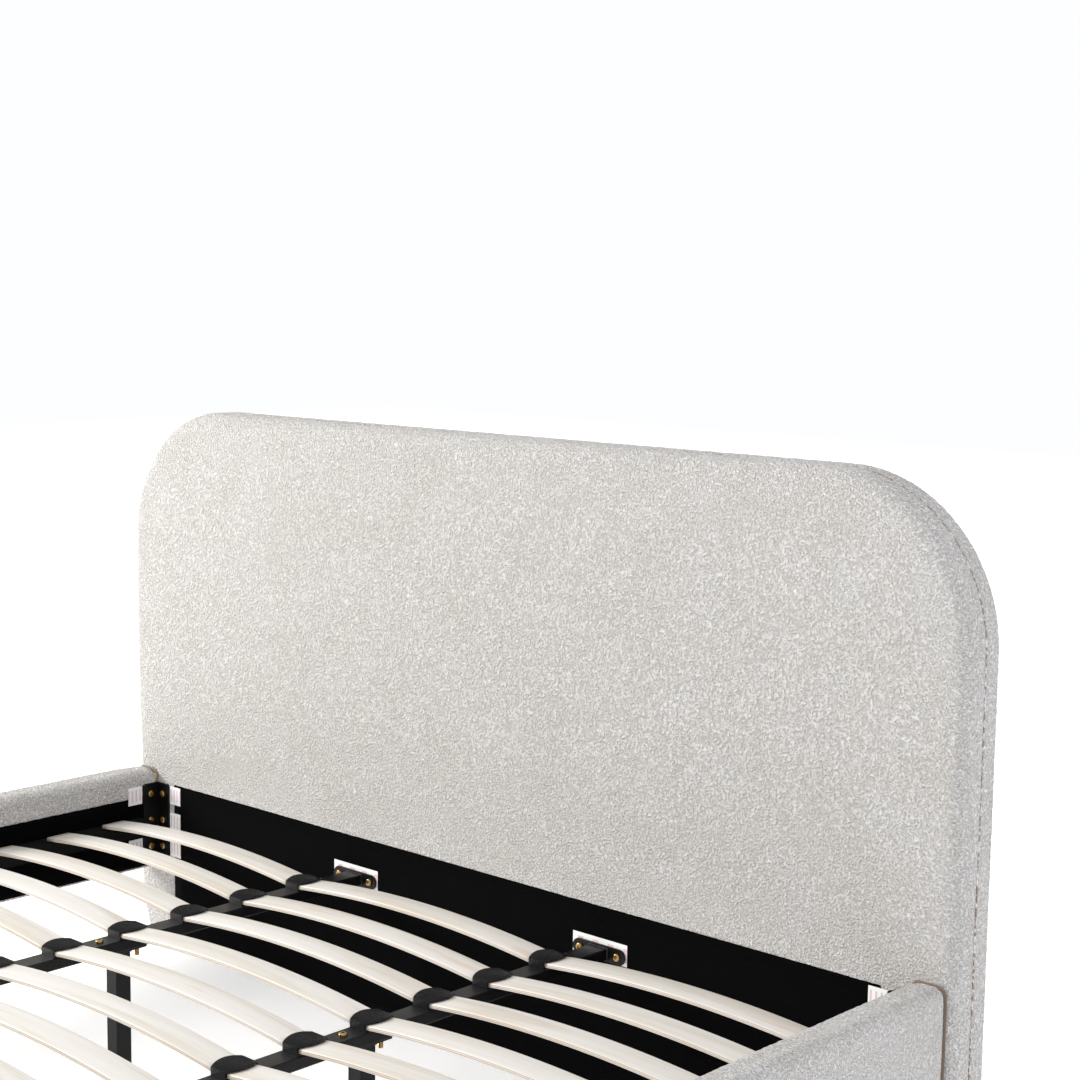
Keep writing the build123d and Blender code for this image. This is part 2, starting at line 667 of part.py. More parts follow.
def main():
    """Write every sub-part."""
    os.makedirs("parts", exist_ok=True)
    write("headboard_cover", headboard_cover())
    write("headboard_foam", headboard_foam())
    write("headboard_panel", headboard_panel())
    write("headboard_lower_board", headboard_lower_board())
    write("headboard_frame", headboard_frame())
    write("headboard_edge_band", headboard_edge_band())
    write("headboard_back_cover", headboard_back_cover())
    write("headboard_liner", headboard_liner())
    write("footboard_cover", footboard_cover())
    write("footboard_foam", footboard_foam())
    write("footboard_timber", footboard_timber())
    write("footboard_liner", footboard_liner())
    write("floor_glides", group(floor_glides()))
    for name, side in SIDES.items():
        write(f"rail_cover_{name}", on_side(rail_cover(), side))
        write(f"rail_foam_{name}", on_side(rail_foam(), side))
        write(f"rail_timber_{name}", on_side(rail_timber(), side))
        write(f"rail_liner_{name}", on_side(rail_liner(), side))
        write(f"slat_ledger_{name}", on_side(slat_ledger(), side))
        write(f"support_beam_{name}", support_beam(side))
        holder = on_side(slat_holder(), side)
        write(f"slat_holders_{name}", group(Pos(0, y, 0) * holder for y in ROW_Y))
        for end_name, end in ENDS.items():
            y = LEG_Y[0] if end > 0 else LEG_Y[1]
            write(f"corner_bracket_{end_name}_{name}", corner_bracket(side, end))
            write(f"support_leg_{end_name}_{name}", support_leg(side, y))
            write(f"levelling_foot_{end_name}_{name}", levelling_foot(side, y))
    write("frame_bolts", group(frame_bolts()))
    write("tee_nuts", group(tee_nuts()))
    write("plain_labels", group(labels()))
    write("leg_bolts", group(leg_bolts()))
    write("leg_plugs", group(leg_plugs()))
    for number, y in enumerate(ROW_Y, start=1):
        write(f"slat_row_{number:02d}", slat_row(y))


main()
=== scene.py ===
import math

import bmesh
import bpy
from mathutils import Matrix, Vector, noise


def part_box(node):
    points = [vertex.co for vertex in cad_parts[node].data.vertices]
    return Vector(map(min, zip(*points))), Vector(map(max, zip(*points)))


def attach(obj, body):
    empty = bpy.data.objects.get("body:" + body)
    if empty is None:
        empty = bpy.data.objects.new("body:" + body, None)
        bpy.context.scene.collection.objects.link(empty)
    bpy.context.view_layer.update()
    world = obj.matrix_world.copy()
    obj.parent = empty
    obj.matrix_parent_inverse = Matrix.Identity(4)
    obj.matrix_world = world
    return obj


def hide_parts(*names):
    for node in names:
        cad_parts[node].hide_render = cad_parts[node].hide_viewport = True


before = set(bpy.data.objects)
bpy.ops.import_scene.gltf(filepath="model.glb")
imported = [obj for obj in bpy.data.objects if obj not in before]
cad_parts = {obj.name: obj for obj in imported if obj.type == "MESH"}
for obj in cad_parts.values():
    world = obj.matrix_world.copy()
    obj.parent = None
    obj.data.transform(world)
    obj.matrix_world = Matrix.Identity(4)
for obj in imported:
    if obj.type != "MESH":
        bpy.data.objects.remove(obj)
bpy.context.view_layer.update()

bl_info = {
    "name": "Upholstered headboard bed",
    "version": (1, 0, 0),
    "blender": (4, 5, 0),
    "location": "View3D > Sidebar > Bed",
    "description": "Fabric, slats, fittings and studio for an upholstered bed",
    "category": "Add Mesh",
}

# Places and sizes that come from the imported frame, in metres
HEAD_LOW, HEAD_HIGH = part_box("headboard_cover")
BAND_LOW, BAND_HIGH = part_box("headboard_edge_band")
BACK_LOW, BACK_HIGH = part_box("headboard_back_cover")
HEAD_LINER_LOW, HEAD_LINER_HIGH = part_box("headboard_liner")
FOOT_LOW, FOOT_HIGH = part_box("footboard_cover")
FOOT_LINER_LOW, FOOT_LINER_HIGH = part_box("footboard_liner")
RAIL_LOW, RAIL_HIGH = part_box("rail_cover_right")
RAIL_LINER_LOW, RAIL_LINER_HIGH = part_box("rail_liner_right")
LEDGER_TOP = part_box("slat_ledger_right")[1].z
HEAD_FACE = HEAD_LOW.y
FOOT_FACE = FOOT_HIGH.y
BEAM_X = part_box("support_leg_head_right")[0].x + 0.018
BEAM_TOP = 0.274
ROW_NODES = sorted(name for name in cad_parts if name.startswith("slat_row"))
ROW_Y = [(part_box(name)[0].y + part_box(name)[1].y) / 2 for name in ROW_NODES]

# Upholstery
HEAD_CORNER = 0.266
HEAD_ROLL = 0.032
FOOT_CORNER = 0.060
FOOT_OUTER_ROLL = 0.016
FOOT_INNER_ROLL = 0.006
RAIL_TOP_ROLL = 0.014
RAIL_BOTTOM_ROLL = 0.006
TOE_HEIGHT = 0.140              # below this height the boards' sides draw in
TOE_TAPER = 0.030
HEAD_VOXEL = 0.010
FOOT_VOXEL = 0.010
RAIL_VOXEL = 0.009
CURL = 0.004                    # how far a loop curls away from its place
FOLD = 0.002                    # depth of the turned edge round a lining
LINING = 0.0006                 # thickness of the black lining
SEAM_SPARE = 0.015              # the headboard's form runs on past the seam and is trimmed there
FLAT_BELOW = 0.36               # the headboard's front stays flat up to this height
FULL_ABOVE = 0.60               # and swells fully above this one
BACK_INSET = 0.012              # the back lining starts this far inside the outline
STRIP_LIP = 0.0085              # the edge strip ends just under the back lining
# The rail-end tape is dark partly to paint the shadow in the gap where each rail meets a board.
SHADOW_TAPE_WIDTH = 0.0008
SHADOW_TAPE_PROUD = 0.0002

# Slats and their caps
SLAT_WIDTH = 0.053
SLAT = 0.008
SLAT_CROWN = 0.018
SLAT_SEAT = 0.002
SLAT_END_GAP = 0.009
SLAT_OUTER_END = 0.904
CAP_HALF_LENGTH = 0.029
CAP_HALF_WIDTH = 0.0175
CAP_BULGE = 0.0095
CAP_EDGE_HEIGHT = 0.0130
CAP_CREST = 0.003
CAP_RIBS = 11
CAP_WALL = 0.0012

# Fittings
THREAD_PITCH = 0.00125
LABEL_PAPER = 0.0002
STAPLE_STEP = 0.045


# ---------------------------------------------------------------- settings

def linear(hex_colour):
    """A linear RGBA colour from an sRGB hex value."""
    channels = [int(hex_colour[i:i + 2], 16) / 255 for i in (1, 3, 5)]
    curve = [c / 12.92 if c <= 0.04045 else ((c + 0.055) / 1.055) ** 2.4 for c in channels]
    return (*curve, 1.0)


class UpholsterySettings(bpy.types.PropertyGroup):
    """Sizes and colours of the fabric."""

    loop_tip: bpy.props.FloatVectorProperty(
        name="Loop tips", description="Colour of the yarn loops' lit tips",
        subtype="COLOR", size=4, default=linear("#FDFCFC"))
    # Loop roots: painted shade, the darker colour given to the hollows between the yarn loops.
    loop_root_shade: bpy.props.FloatVectorProperty(
        name="Loop roots", description="Colour between the yarn loops",
        subtype="COLOR", size=4, default=linear("#D0CDC9"))
    loop_size: bpy.props.FloatProperty(
        name="Loop size", description="Distance between neighbouring yarn loops",
        unit="LENGTH", default=0.0036, min=0.002, max=0.02)
    loop_height: bpy.props.FloatProperty(
        name="Loop height", description="How far the yarn loops stand out",
        unit="LENGTH", default=0.0013, min=0.0, max=0.005)
    swell: bpy.props.FloatProperty(
        name="Swell", description="How far the padding pushes the fabric out",
        unit="LENGTH", default=0.006, min=0.0, max=0.02)
    lining_colour: bpy.props.FloatVectorProperty(
        name="Lining", description="Colour of the non-woven lining",
        subtype="COLOR", size=4, default=linear("#070708"))
    thread_colour: bpy.props.FloatVectorProperty(
        name="Seam thread", description="Colour of the thread in the side seam",
        subtype="COLOR", size=4, default=linear("#86715F"))


class TimberSettings(bpy.types.PropertyGroup):
    """Colours of the wooden parts."""

    slat_pale: bpy.props.FloatVectorProperty(
        name="Slat face", description="Pale colour of the birch slats",
        subtype="COLOR", size=4, default=linear("#D9D5CE"))
    slat_dark: bpy.props.FloatVectorProperty(
        name="Slat grain", description="Darker colour of the birch grain",
        subtype="COLOR", size=4, default=linear("#CEC6B9"))
    pine: bpy.props.FloatVectorProperty(
        name="Pine", description="Colour of the sawn pine battens and frames",
        subtype="COLOR", size=4, default=linear("#D8B98A"))


class FittingSettings(bpy.types.PropertyGroup):
    """Colours of the steel and plastic parts."""

    coat: bpy.props.FloatVectorProperty(
        name="Powder coat", description="Colour of the coated steel",
        subtype="COLOR", size=4, default=linear("#070708"))
    plastic: bpy.props.FloatVectorProperty(
        name="Plastic", description="Colour of the moulded caps and plugs",
        subtype="COLOR", size=4, default=linear("#0A0B0C"))
    zinc: bpy.props.FloatVectorProperty(
        name="Zinc", description="Main colour of the yellow passivated bolts",
        subtype="COLOR", size=4, default=linear("#A88248"))


class StudioSettings(bpy.types.PropertyGroup):
    """Light and floor."""

    sky: bpy.props.FloatProperty(
        name="Surround", description="Strength of the even light from all round",
        default=1.0, min=0.0, max=4.0)
    key: bpy.props.FloatProperty(
        name="Key light", description="Power of the big soft light at the front left",
        unit="POWER", default=230.0, min=0.0)
    rim: bpy.props.FloatProperty(
        name="Rim light", description="Power of the cool light at the right",
        unit="POWER", default=16.0, min=0.0)
    floor: bpy.props.FloatVectorProperty(
        name="Floor", description="Colour of the plain floor",
        subtype="COLOR", size=4, default=linear("#FCFCFC"))
    floor_glow: bpy.props.FloatProperty(
        name="Floor glow", description="Strength of the light that comes up through the floor",
        default=0.35, min=0.0, max=2.0)


# ---------------------------------------------------------------- mesh helpers

def box_form(low, high):
    """A bmesh cube between two corners."""
    bm = bmesh.new()
    low, high = Vector(low), Vector(high)
    bmesh.ops.create_cube(bm, size=1.0)
    bmesh.ops.scale(bm, vec=high - low, verts=bm.verts)
    bmesh.ops.translate(bm, vec=(low + high) / 2, verts=bm.verts)
    return bm


def edges_along(bm, axis):
    """The edges that run along an axis."""
    found = []
    for edge in bm.edges:
        run = edge.verts[0].co - edge.verts[1].co
        if abs(run[axis]) > 0.99 * run.length:
            found.append(edge)
    return found


def round_over(bm, edges, radius, segments):
    """Rounds edges to a radius."""
    bmesh.ops.bevel(bm, geom=edges, offset=radius, segments=segments, profile=0.5,
                    affect="EDGES", material=-1, clamp_overlap=True)


def cut_every(bm, axis, step):
    """Cuts a whole bmesh into even strips across an axis."""
    places = [v.co[axis] for v in bm.verts]
    low, high = min(places), max(places)
    count = max(1, round((high - low) / step))
    normal = Vector((0, 0, 0))
    normal[axis] = 1.0
    for index in range(1, count):
        point = normal * (low + (high - low) * index / count)
        whole = bm.verts[:] + bm.edges[:] + bm.faces[:]
        bmesh.ops.bisect_plane(bm, geom=whole, plane_co=point, plane_no=normal, dist=1e-6)


def stamp(bm, prototype, matrix):
    """Adds a copy of a prototype mesh, placed by a matrix, and returns its points."""
    count = len(bm.verts)
    bm.from_mesh(prototype)
    bm.verts.ensure_lookup_table()
    fresh = bm.verts[count:]
    bmesh.ops.transform(bm, matrix=matrix, verts=fresh)
    return fresh


def mesh_from(bm, name, sharp=None):
    """A mesh from a bmesh, smooth shaded, with edges kept sharp past an angle in degrees."""
    mesh = bpy.data.meshes.new(name)
    bm.to_mesh(mesh)
    bm.free()
    mesh.polygons.foreach_set("use_smooth", [True] * len(mesh.polygons))
    if sharp is not None:
        mesh.set_sharp_from_angle(angle=math.radians(sharp))
    return mesh


def piece_from(mesh, name, materials, body="bed"):
    """A finished piece at the origin, riding on a body."""
    piece = bpy.data.objects.new(name, mesh)
    bpy.context.scene.collection.objects.link(piece)
    mesh.materials.clear()
    for material in materials:
        mesh.materials.append(material)
    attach(piece, body)
    return piece


def bake_modifiers(piece):
    """Swaps a piece's mesh for the one its modifiers make."""
    graph = bpy.context.evaluated_depsgraph_get()
    made = bpy.data.meshes.new_from_object(piece.evaluated_get(graph))
    piece.modifiers.clear()
    piece.data = made


def smooth_step(value, low, high):
    """0 below low, 1 above high, and an even curve between."""
    t = min(1.0, max(0.0, (value - low) / (high - low)))
    return t * t * (3 - 2 * t)


def toe_inset(height):
    """How far a board's side draws in at a height."""
    drop = max(0.0, TOE_HEIGHT - height)
    reach = TOE_HEIGHT - HEAD_LOW.z
    radius = (reach * reach + TOE_TAPER * TOE_TAPER) / (2 * TOE_TAPER)
    return radius - math.sqrt(radius * radius - drop * drop)


def draw_in_toes(verts):
    """Draws in the sides of a board near the floor."""
    for vert in verts:
        if vert.co.z < TOE_HEIGHT:
            vert.co.x *= 1 - toe_inset(vert.co.z) / HEAD_HIGH.x


def board_form(low, high, corner, front_roll, back_roll):
    """A board with round top corners and rolled front and back edges."""
    bm = box_form(low, high)
    middle = (low.z + high.z) / 2
    tops = [e for e in edges_along(bm, 1) if e.verts[0].co.z > middle]
    round_over(bm, tops, corner, 24)
    for depth, roll in ((low.y, front_roll), (high.y, back_roll)):
        if roll == 0:
            continue
        rim = []
        for edge in bm.edges:
            on_face = all(abs(v.co.y - depth) < 1e-5 for v in edge.verts)
            on_floor = all(v.co.z < low.z + 1e-5 for v in edge.verts)
            if on_face and not on_floor:
                rim.append(edge)
        round_over(bm, rim, roll, 6)
    return bm


# ---------------------------------------------------------------- padding

def remesh(piece, voxel):
    """Evens out a closed form into small squares."""
    modifier = piece.modifiers.new("Remesh", "REMESH")
    modifier.mode = "VOXEL"
    modifier.voxel_size = voxel
    bake_modifiers(piece)


def stuff(piece, held, reach):
    """Swells a closed form under pressure.

    Held points stay, and the others move straight out, at most reach(place) and never inward.
    """
    home = [(v.co.copy(), v.normal.copy()) for v in piece.data.vertices]
    group = piece.vertex_groups.new(name="held")
    group.add([v.index for v in piece.data.vertices if held(v.co)], 1.0, "REPLACE")
    cloth = piece.modifiers.new("Cloth", "CLOTH")
    settings = cloth.settings
    settings.quality = 4
    settings.mass = 0.4
    settings.tension_stiffness = 12
    settings.compression_stiffness = 12
    settings.shear_stiffness = 4
    settings.bending_stiffness = 1.5
    settings.air_damping = 2
    settings.use_pressure = True
    settings.uniform_pressure_force = 4
    settings.shrink_min = -0.006
    settings.vertex_group_mass = "held"
    settings.effector_weights.gravity = 0
    for step in range(1, 21):
        bpy.context.scene.frame_set(step)
    bake_modifiers(piece)
    piece.vertex_groups.clear()
    bpy.context.scene.frame_set(1)
    for vert, (start, outward) in zip(piece.data.vertices, home):
        limit = 0.0 if held(start) else reach(start)
        if limit < 1e-6:
            vert.co = start
            continue
        swell = max(limit, (vert.co - start).dot(outward))
        vert.co = start + outward * limit * math.tanh(swell / limit)


def open_window(bm, outward, low, high, depth):
    """Sinks a rectangle of the faces that look outward, with a turned edge of that depth."""
    crease = bm.edges.layers.float.new("crease_edge")
    axis = max(range(3), key=lambda i: abs(outward[i]))
    others = [i for i in range(3) if i != axis]
    for cross in others:
        for limit in (low[cross], high[cross]):
            normal = Vector((0, 0, 0))
            normal[cross] = 1.0
            near = []
            for face in bm.faces:
                centre = face.calc_center_median()
                inside = all(low[i] - 0.03 < centre[i] < high[i] + 0.03 for i in others)
                if inside and face.normal.dot(outward) > 0.6:
                    near.append(face)
            geom = near + list({e for f in near for e in f.edges})
            geom += list({v for f in near for v in f.verts})
            bmesh.ops.bisect_plane(bm, geom=geom, plane_co=normal * limit, plane_no=normal,
                                   dist=1e-6)
    sunk = []
    for face in bm.faces:
        centre = face.calc_center_median()
        inside = all(low[i] < centre[i] < high[i] for i in others)
        if inside and face.normal.dot(outward) > 0.6:
            sunk.append(face)
    bmesh.ops.delete(bm, geom=sunk, context="FACES")
    rim = []
    for edge in bm.edges:
        if edge.is_boundary and all(
                low[i] - 1e-4 < v.co[i] < high[i] + 1e-4 for v in edge.verts for i in others):
            rim.append(edge)
    turned = bmesh.ops.extrude_edge_only(bm, edges=rim)["geom"]
    inner = [part for part in turned if isinstance(part, bmesh.types.BMVert)]
    bmesh.ops.translate(bm, vec=outward * -depth, verts=inner)
    hole = [part for part in turned if isinstance(part, bmesh.types.BMEdge) and part.is_boundary]
    bmesh.ops.triangle_fill(bm, edges=hole, use_beauty=True)
    for edge in rim + hole:
        edge[crease] = 1.0


def fold_texture(name, kind, size):
    """A procedural texture for a Displace modifier, with features of that size."""
    texture = bpy.data.textures.new(name, kind)
    texture.noise_scale = size
    return texture


def loop_surface(piece, height):
    """Adds the bumpy surface of the yarn loops as real relief."""
    finer = piece.modifiers.new("Finer", "SUBSURF")
    finer.levels = 1
    finer.render_levels = 1
    loops = piece.modifiers.new("Loops", "DISPLACE")
    loops.texture = bpy.data.textures.get("yarn_loops") or fold_texture("yarn_loops", "VORONOI", 0.009)
    loops.texture_coords = "LOCAL"
    loops.strength = -height
    loops.mid_level = 0.5


def cover_in_boucle(piece, height):
    """Gives a padded form its loops, and its fabric again after the remesh."""
    loop_surface(piece, height)
    piece.data.materials.clear()
    piece.data.materials.append(MATERIALS["boucle"])


def waver(mesh, size, depth, seed):
    """Adds slow hollows and swells, as hand-glued padding has."""
    outward = [vert.normal.copy() for vert in mesh.vertices]
    for vert, normal in zip(mesh.vertices, outward):
        place = vert.co / size + Vector((seed, 0, 0))
        vert.co += normal * depth * noise.noise(place)


# ---------------------------------------------------------------- materials

def add(tree, kind, settings=None, inputs=None):
    """Adds a node with its settings and with its inputs set or linked."""
    made = tree.nodes.new(kind)
    for name, value in (settings or {}).items():
        if name == "stops":
            ramp = made.color_ramp
            while len(ramp.elements) < len(value):
                ramp.elements.new(0.5)
            for element, (position, colour) in zip(ramp.elements, value):
                element.position = position
                element.color = colour
        else:
            setattr(made, name, value)
    for name, value in (inputs or {}).items():
        if isinstance(value, bpy.types.NodeSocket):
            tree.links.new(value, made.inputs[name])
        else:
            made.inputs[name].default_value = value
    return made


def new_material(name, **values):
    """A material with its shader's constant values set, and a place to read patterns from."""
    material = bpy.data.materials.new(name)
    material.use_nodes = True
    tree = material.node_tree
    shader = tree.nodes["Principled BSDF"]
    for socket, value in values.items():
        shader.inputs[socket.replace("_", " ")].default_value = value
    place = add(tree, "ShaderNodeTexCoord").outputs["Object"]
    return material, tree, shader, place


def bump(tree, shader, height, strength, distance):
    """Links a height to the shader's normal."""
    relief = add(tree, "ShaderNodeBump", None,
                 {"Height": height, "Strength": strength, "Distance": distance})
    tree.links.new(relief.outputs["Normal"], shader.inputs["Normal"])


def boucle(cloth):
    """Bouclé, woven from a looped wool-blend yarn: matt, soft and knobbly, pale loops over shadow."""
    material, tree, shader, place = new_material(
        "boucle_woven_wool_blend", Roughness=0.95, Sheen_Weight=0.25, Sheen_Roughness=0.6,
        Specular_IOR_Level=0.2)
    # Loops are 3 to 4 mm thick and curl, so the noise that stands for them is bent by a larger one
    curl = add(tree, "ShaderNodeTexNoise", None,
               {"Vector": place, "Scale": 1 / (2.0 * cloth.loop_size), "Detail": 1.0})
    shift = add(tree, "ShaderNodeVectorMath", {"operation": "MULTIPLY_ADD"},
                {0: curl.outputs["Color"], 1: (CURL, CURL, CURL), 2: place})
    loops = add(tree, "ShaderNodeTexNoise", None,
                {"Vector": shift.outputs[0], "Scale": 1 / cloth.loop_size, "Detail": 2.0,
                 "Roughness": 0.45})
    # Yarn fibres are about 0.02 mm, drawn here 60 times coarser so that they show
    fibres = add(tree, "ShaderNodeTexNoise", None,
                 {"Vector": shift.outputs[0], "Scale": 1 / 0.0013, "Detail": 3.0})
    height = add(tree, "ShaderNodeMath", {"operation": "MULTIPLY_ADD"},
                 {0: fibres.outputs[0], 1: 0.15, 2: loops.outputs[0]})
    # Low places between the loops take the roots' colour: painted shade in the hollows, on top of the
    # bump's shading.
    tone = add(tree, "ShaderNodeMapRange", None,
               {"Value": height.outputs[0], "From Min": 0.50, "From Max": 0.78})
    yarn_and_hollow_shade = add(tree, "ShaderNodeMix", {"data_type": "RGBA"},
               {0: tone.outputs[0], 6: tuple(cloth.loop_root_shade), 7: tuple(cloth.loop_tip)})
    drift = add(tree, "ShaderNodeTexNoise", None,
                {"Vector": place, "Scale": 9.0, "Detail": 3.0})
    cast = add(tree, "ShaderNodeValToRGB",
               {"stops": [(0.35, linear("#FBFAF8")), (0.65, linear("#FFFFFF"))]},
               {0: drift.outputs[0]})
    mixed = add(tree, "ShaderNodeMix", {"data_type": "RGBA", "blend_type": "MULTIPLY"},
                {0: 1.0, 6: yarn_and_hollow_shade.outputs[2], 7: cast.outputs[0]})
    tree.links.new(mixed.outputs[2], shader.inputs["Base Color"])
    bump(tree, shader, height.outputs[0], 1.0, 0.014)
    return material


def nonwoven(cloth):
    """Spun-bonded polypropylene lining: dull black felt with a fine pattern of melted dots."""
    material, tree, shader, place = new_material(
        "polypropylene_nonwoven_lining", Roughness=0.95, Specular_IOR_Level=0.03,
        Sheen_Weight=0.01)
    fibres = add(tree, "ShaderNodeTexNoise", None,
                 {"Vector": place, "Scale": 420.0, "Detail": 4.0, "Roughness": 0.7})
    # The bond dots are 1 mm apart, drawn at 3 mm so that they show
    dots = add(tree, "ShaderNodeTexVoronoi", None,
               {"Vector": place, "Scale": 1 / 0.003, "Randomness": 0.15})
    creases = add(tree, "ShaderNodeTexNoise", None,
                  {"Vector": place, "Scale": 6.0, "Detail": 2.0, "Distortion": 1.5})
    dark = tuple(0.55 * c for c in cloth.lining_colour[:3]) + (1.0,)
    shade = add(tree, "ShaderNodeValToRGB",
                {"stops": [(0.3, dark), (0.75, tuple(cloth.lining_colour))]},
                {0: fibres.outputs[0]})
    tree.links.new(shade.outputs[0], shader.inputs["Base Color"])
    relief = add(tree, "ShaderNodeMath", {"operation": "MULTIPLY_ADD"},
                 {0: creases.outputs[0], 1: 6.0, 2: dots.outputs["Distance"]})
    bump(tree, shader, relief.outputs[0], 0.5, 0.0006)
    return material


def seam_thread(cloth):
    """Bonded polyester thread in the seam: brown, twisted, broken up where the pile covers it."""
    material, tree, shader, place = new_material(
        "polyester_thread_twisted", Roughness=0.7, Sheen_Weight=0.2)
    twist = add(tree, "ShaderNodeTexNoise", None, {"Vector": place, "Scale": 160.0, "Detail": 2.0})
    pile = tuple(0.72 * c for c in cloth.loop_tip[:3]) + (1.0,)
    colour = add(tree, "ShaderNodeValToRGB",
                 {"stops": [(0.46, tuple(cloth.thread_colour)), (0.60, pile)]},
                 {0: twist.outputs[0]})
    tree.links.new(colour.outputs[0], shader.inputs["Base Color"])
    bump(tree, shader, twist.outputs[0], 0.6, 0.0008)
    return material


def birch(timber):
    """Birch plywood, pressed in a bow and lacquered: ivory faces, fine grain, brown glue lines."""
    material, tree, shader, _ = new_material(
        "birch_plywood_pressed", Roughness=0.42, Coat_Weight=0.15, Coat_Roughness=0.3)
    flat = add(tree, "ShaderNodeAttribute", {"attribute_name": "grain"}).outputs["Vector"]
    # Grain lines are 1 to 3 mm apart across the slat and run for 100 mm and more along it
    stretched = add(tree, "ShaderNodeMapping", None, {"Vector": flat, "Scale": (7.0, 330.0, 330.0)})
    lines = add(tree, "ShaderNodeTexNoise", None,
                {"Vector": stretched.outputs[0], "Scale": 1.0, "Detail": 5.0, "Roughness": 0.6,
                 "Distortion": 0.6})
    figure = add(tree, "ShaderNodeMapping", None, {"Vector": flat, "Scale": (1.6, 26.0, 26.0)})
    clouds = add(tree, "ShaderNodeTexNoise", None,
                 {"Vector": figure.outputs[0], "Scale": 1.0, "Detail": 3.0, "Distortion": 1.2})
    grain = add(tree, "ShaderNodeMath", {"operation": "MULTIPLY_ADD"},
                {0: lines.outputs[0], 1: 0.45, 2: clouds.outputs[0]})
    face = add(tree, "ShaderNodeValToRGB",
               {"stops": [(0.55, tuple(timber.slat_dark)), (0.74, tuple(timber.slat_pale)),
                          (0.95, linear("#DFDCD7"))]},
               {0: grain.outputs[0]})
    # Pink streaks and small knots turn up every few hundred millimetres
    rare = add(tree, "ShaderNodeMapping", None, {"Vector": flat, "Scale": (5.0, 40.0, 40.0)})
    streaks = add(tree, "ShaderNodeTexNoise", None,
                  {"Vector": rare.outputs[0], "Scale": 1.0, "Detail": 1.0})
    spot = add(tree, "ShaderNodeMapRange", None,
               {"Value": streaks.outputs[0], "From Min": 0.68, "From Max": 0.80, "To Max": 0.45})
    streaked = add(tree, "ShaderNodeMix", {"data_type": "RGBA"},
                   {0: spot.outputs[0], 6: face.outputs[0], 7: linear("#CFA083")})
    # The plies show as lines along the long edges, 1.3 mm apart
    split = add(tree, "ShaderNodeSeparateXYZ", None, {0: flat})
    plies = add(tree, "ShaderNodeMath", {"operation": "PINGPONG"}, {0: split.outputs[2], 1: 0.00133})
    glue = add(tree, "ShaderNodeMapRange", None,
               {"Value": plies.outputs[0], "From Min": 0.00025, "From Max": 0.0004,
                "To Min": 1.0, "To Max": 0.0})
    edge = add(tree, "ShaderNodeAttribute", {"attribute_name": "edge"}).outputs["Fac"]
    on_edge = add(tree, "ShaderNodeMath", {"operation": "MULTIPLY"}, {0: glue.outputs[0], 1: edge})
    browned = add(tree, "ShaderNodeMath", {"operation": "MULTIPLY_ADD"},
                  {0: edge, 1: 0.12, 2: on_edge.outputs[0]})
    finished = add(tree, "ShaderNodeMix", {"data_type": "RGBA", "clamp_factor": True},
                   {0: browned.outputs[0], 6: streaked.outputs[2], 7: linear("#A08468")})
    tree.links.new(finished.outputs[2], shader.inputs["Base Color"])
    bump(tree, shader, lines.outputs[0], 0.15, 0.0004)
    return material


def sawn_grain(tree, place):
    """Straight growth rings, drawn out along the board."""
    rings = add(tree, "ShaderNodeMapping", None, {"Vector": place, "Scale": (60.0, 2.0, 60.0)})
    return add(tree, "ShaderNodeTexNoise", None,
               {"Vector": rings.outputs[0], "Scale": 1.0, "Detail": 4.0, "Distortion": 1.0})


def pine(timber):
    """Sawn pine: dry and matt, with saw marks across a straight yellow grain."""
    material, tree, shader, place = new_material("pine_sawn", Roughness=0.8)
    grain = sawn_grain(tree, place)
    dark = tuple(0.7 * c for c in timber.pine[:3]) + (1.0,)
    colour = add(tree, "ShaderNodeValToRGB", {"stops": [(0.35, dark), (0.65, tuple(timber.pine))]},
                 {0: grain.outputs[0]})
    tree.links.new(colour.outputs[0], shader.inputs["Base Color"])
    # Saw marks are 2 mm apart
    saw = add(tree, "ShaderNodeTexWave", {"bands_direction": "Y"},
              {"Vector": place, "Scale": 80.0, "Distortion": 2.0})
    bump(tree, shader, saw.outputs[0], 0.3, 0.0004)
    return material


def stained_pine():
    """Sawn pine stained black: matt, with the grain just showing through."""
    material, tree, shader, place = new_material(
        "pine_stained_black", Roughness=0.85, Specular_IOR_Level=0.15)
    grain = sawn_grain(tree, place)
    colour = add(tree, "ShaderNodeValToRGB",
                 {"stops": [(0.35, linear("#060606")), (0.70, linear("#0D0C0B"))]},
                 {0: grain.outputs[0]})
    tree.links.new(colour.outputs[0], shader.inputs["Base Color"])
    bump(tree, shader, grain.outputs[0], 0.3, 0.0004)
    return material


def shadow_gap_tape():
    """Cotton twill tape: flat, brown and matt, with a slanted rib; its dark colour is partly the
    cover's turned-in edge and partly painted shadow in the gap at each rail's end.
    """
    material, tree, shader, place = new_material(
        "cotton_tape_painted_shadow_gap", Roughness=0.9, Specular_IOR_Level=0.2, Sheen_Weight=0.1)
    # Twill ribs are 1 mm apart, drawn at 2 mm so that they show
    ribs = add(tree, "ShaderNodeTexWave", {"bands_direction": "DIAGONAL"},
               {"Vector": place, "Scale": 150.0, "Distortion": 1.0})
    # The brown is partly painted shadow, standing for the gap at the rail's end.
    colour = add(tree, "ShaderNodeValToRGB",
                 {"stops": [(0.3, linear("#766A5E")), (0.7, linear("#998A7B"))]},
                 {0: ribs.outputs[0]})
    tree.links.new(colour.outputs[0], shader.inputs["Base Color"])
    bump(tree, shader, ribs.outputs[0], 0.3, 0.0004)
    return material


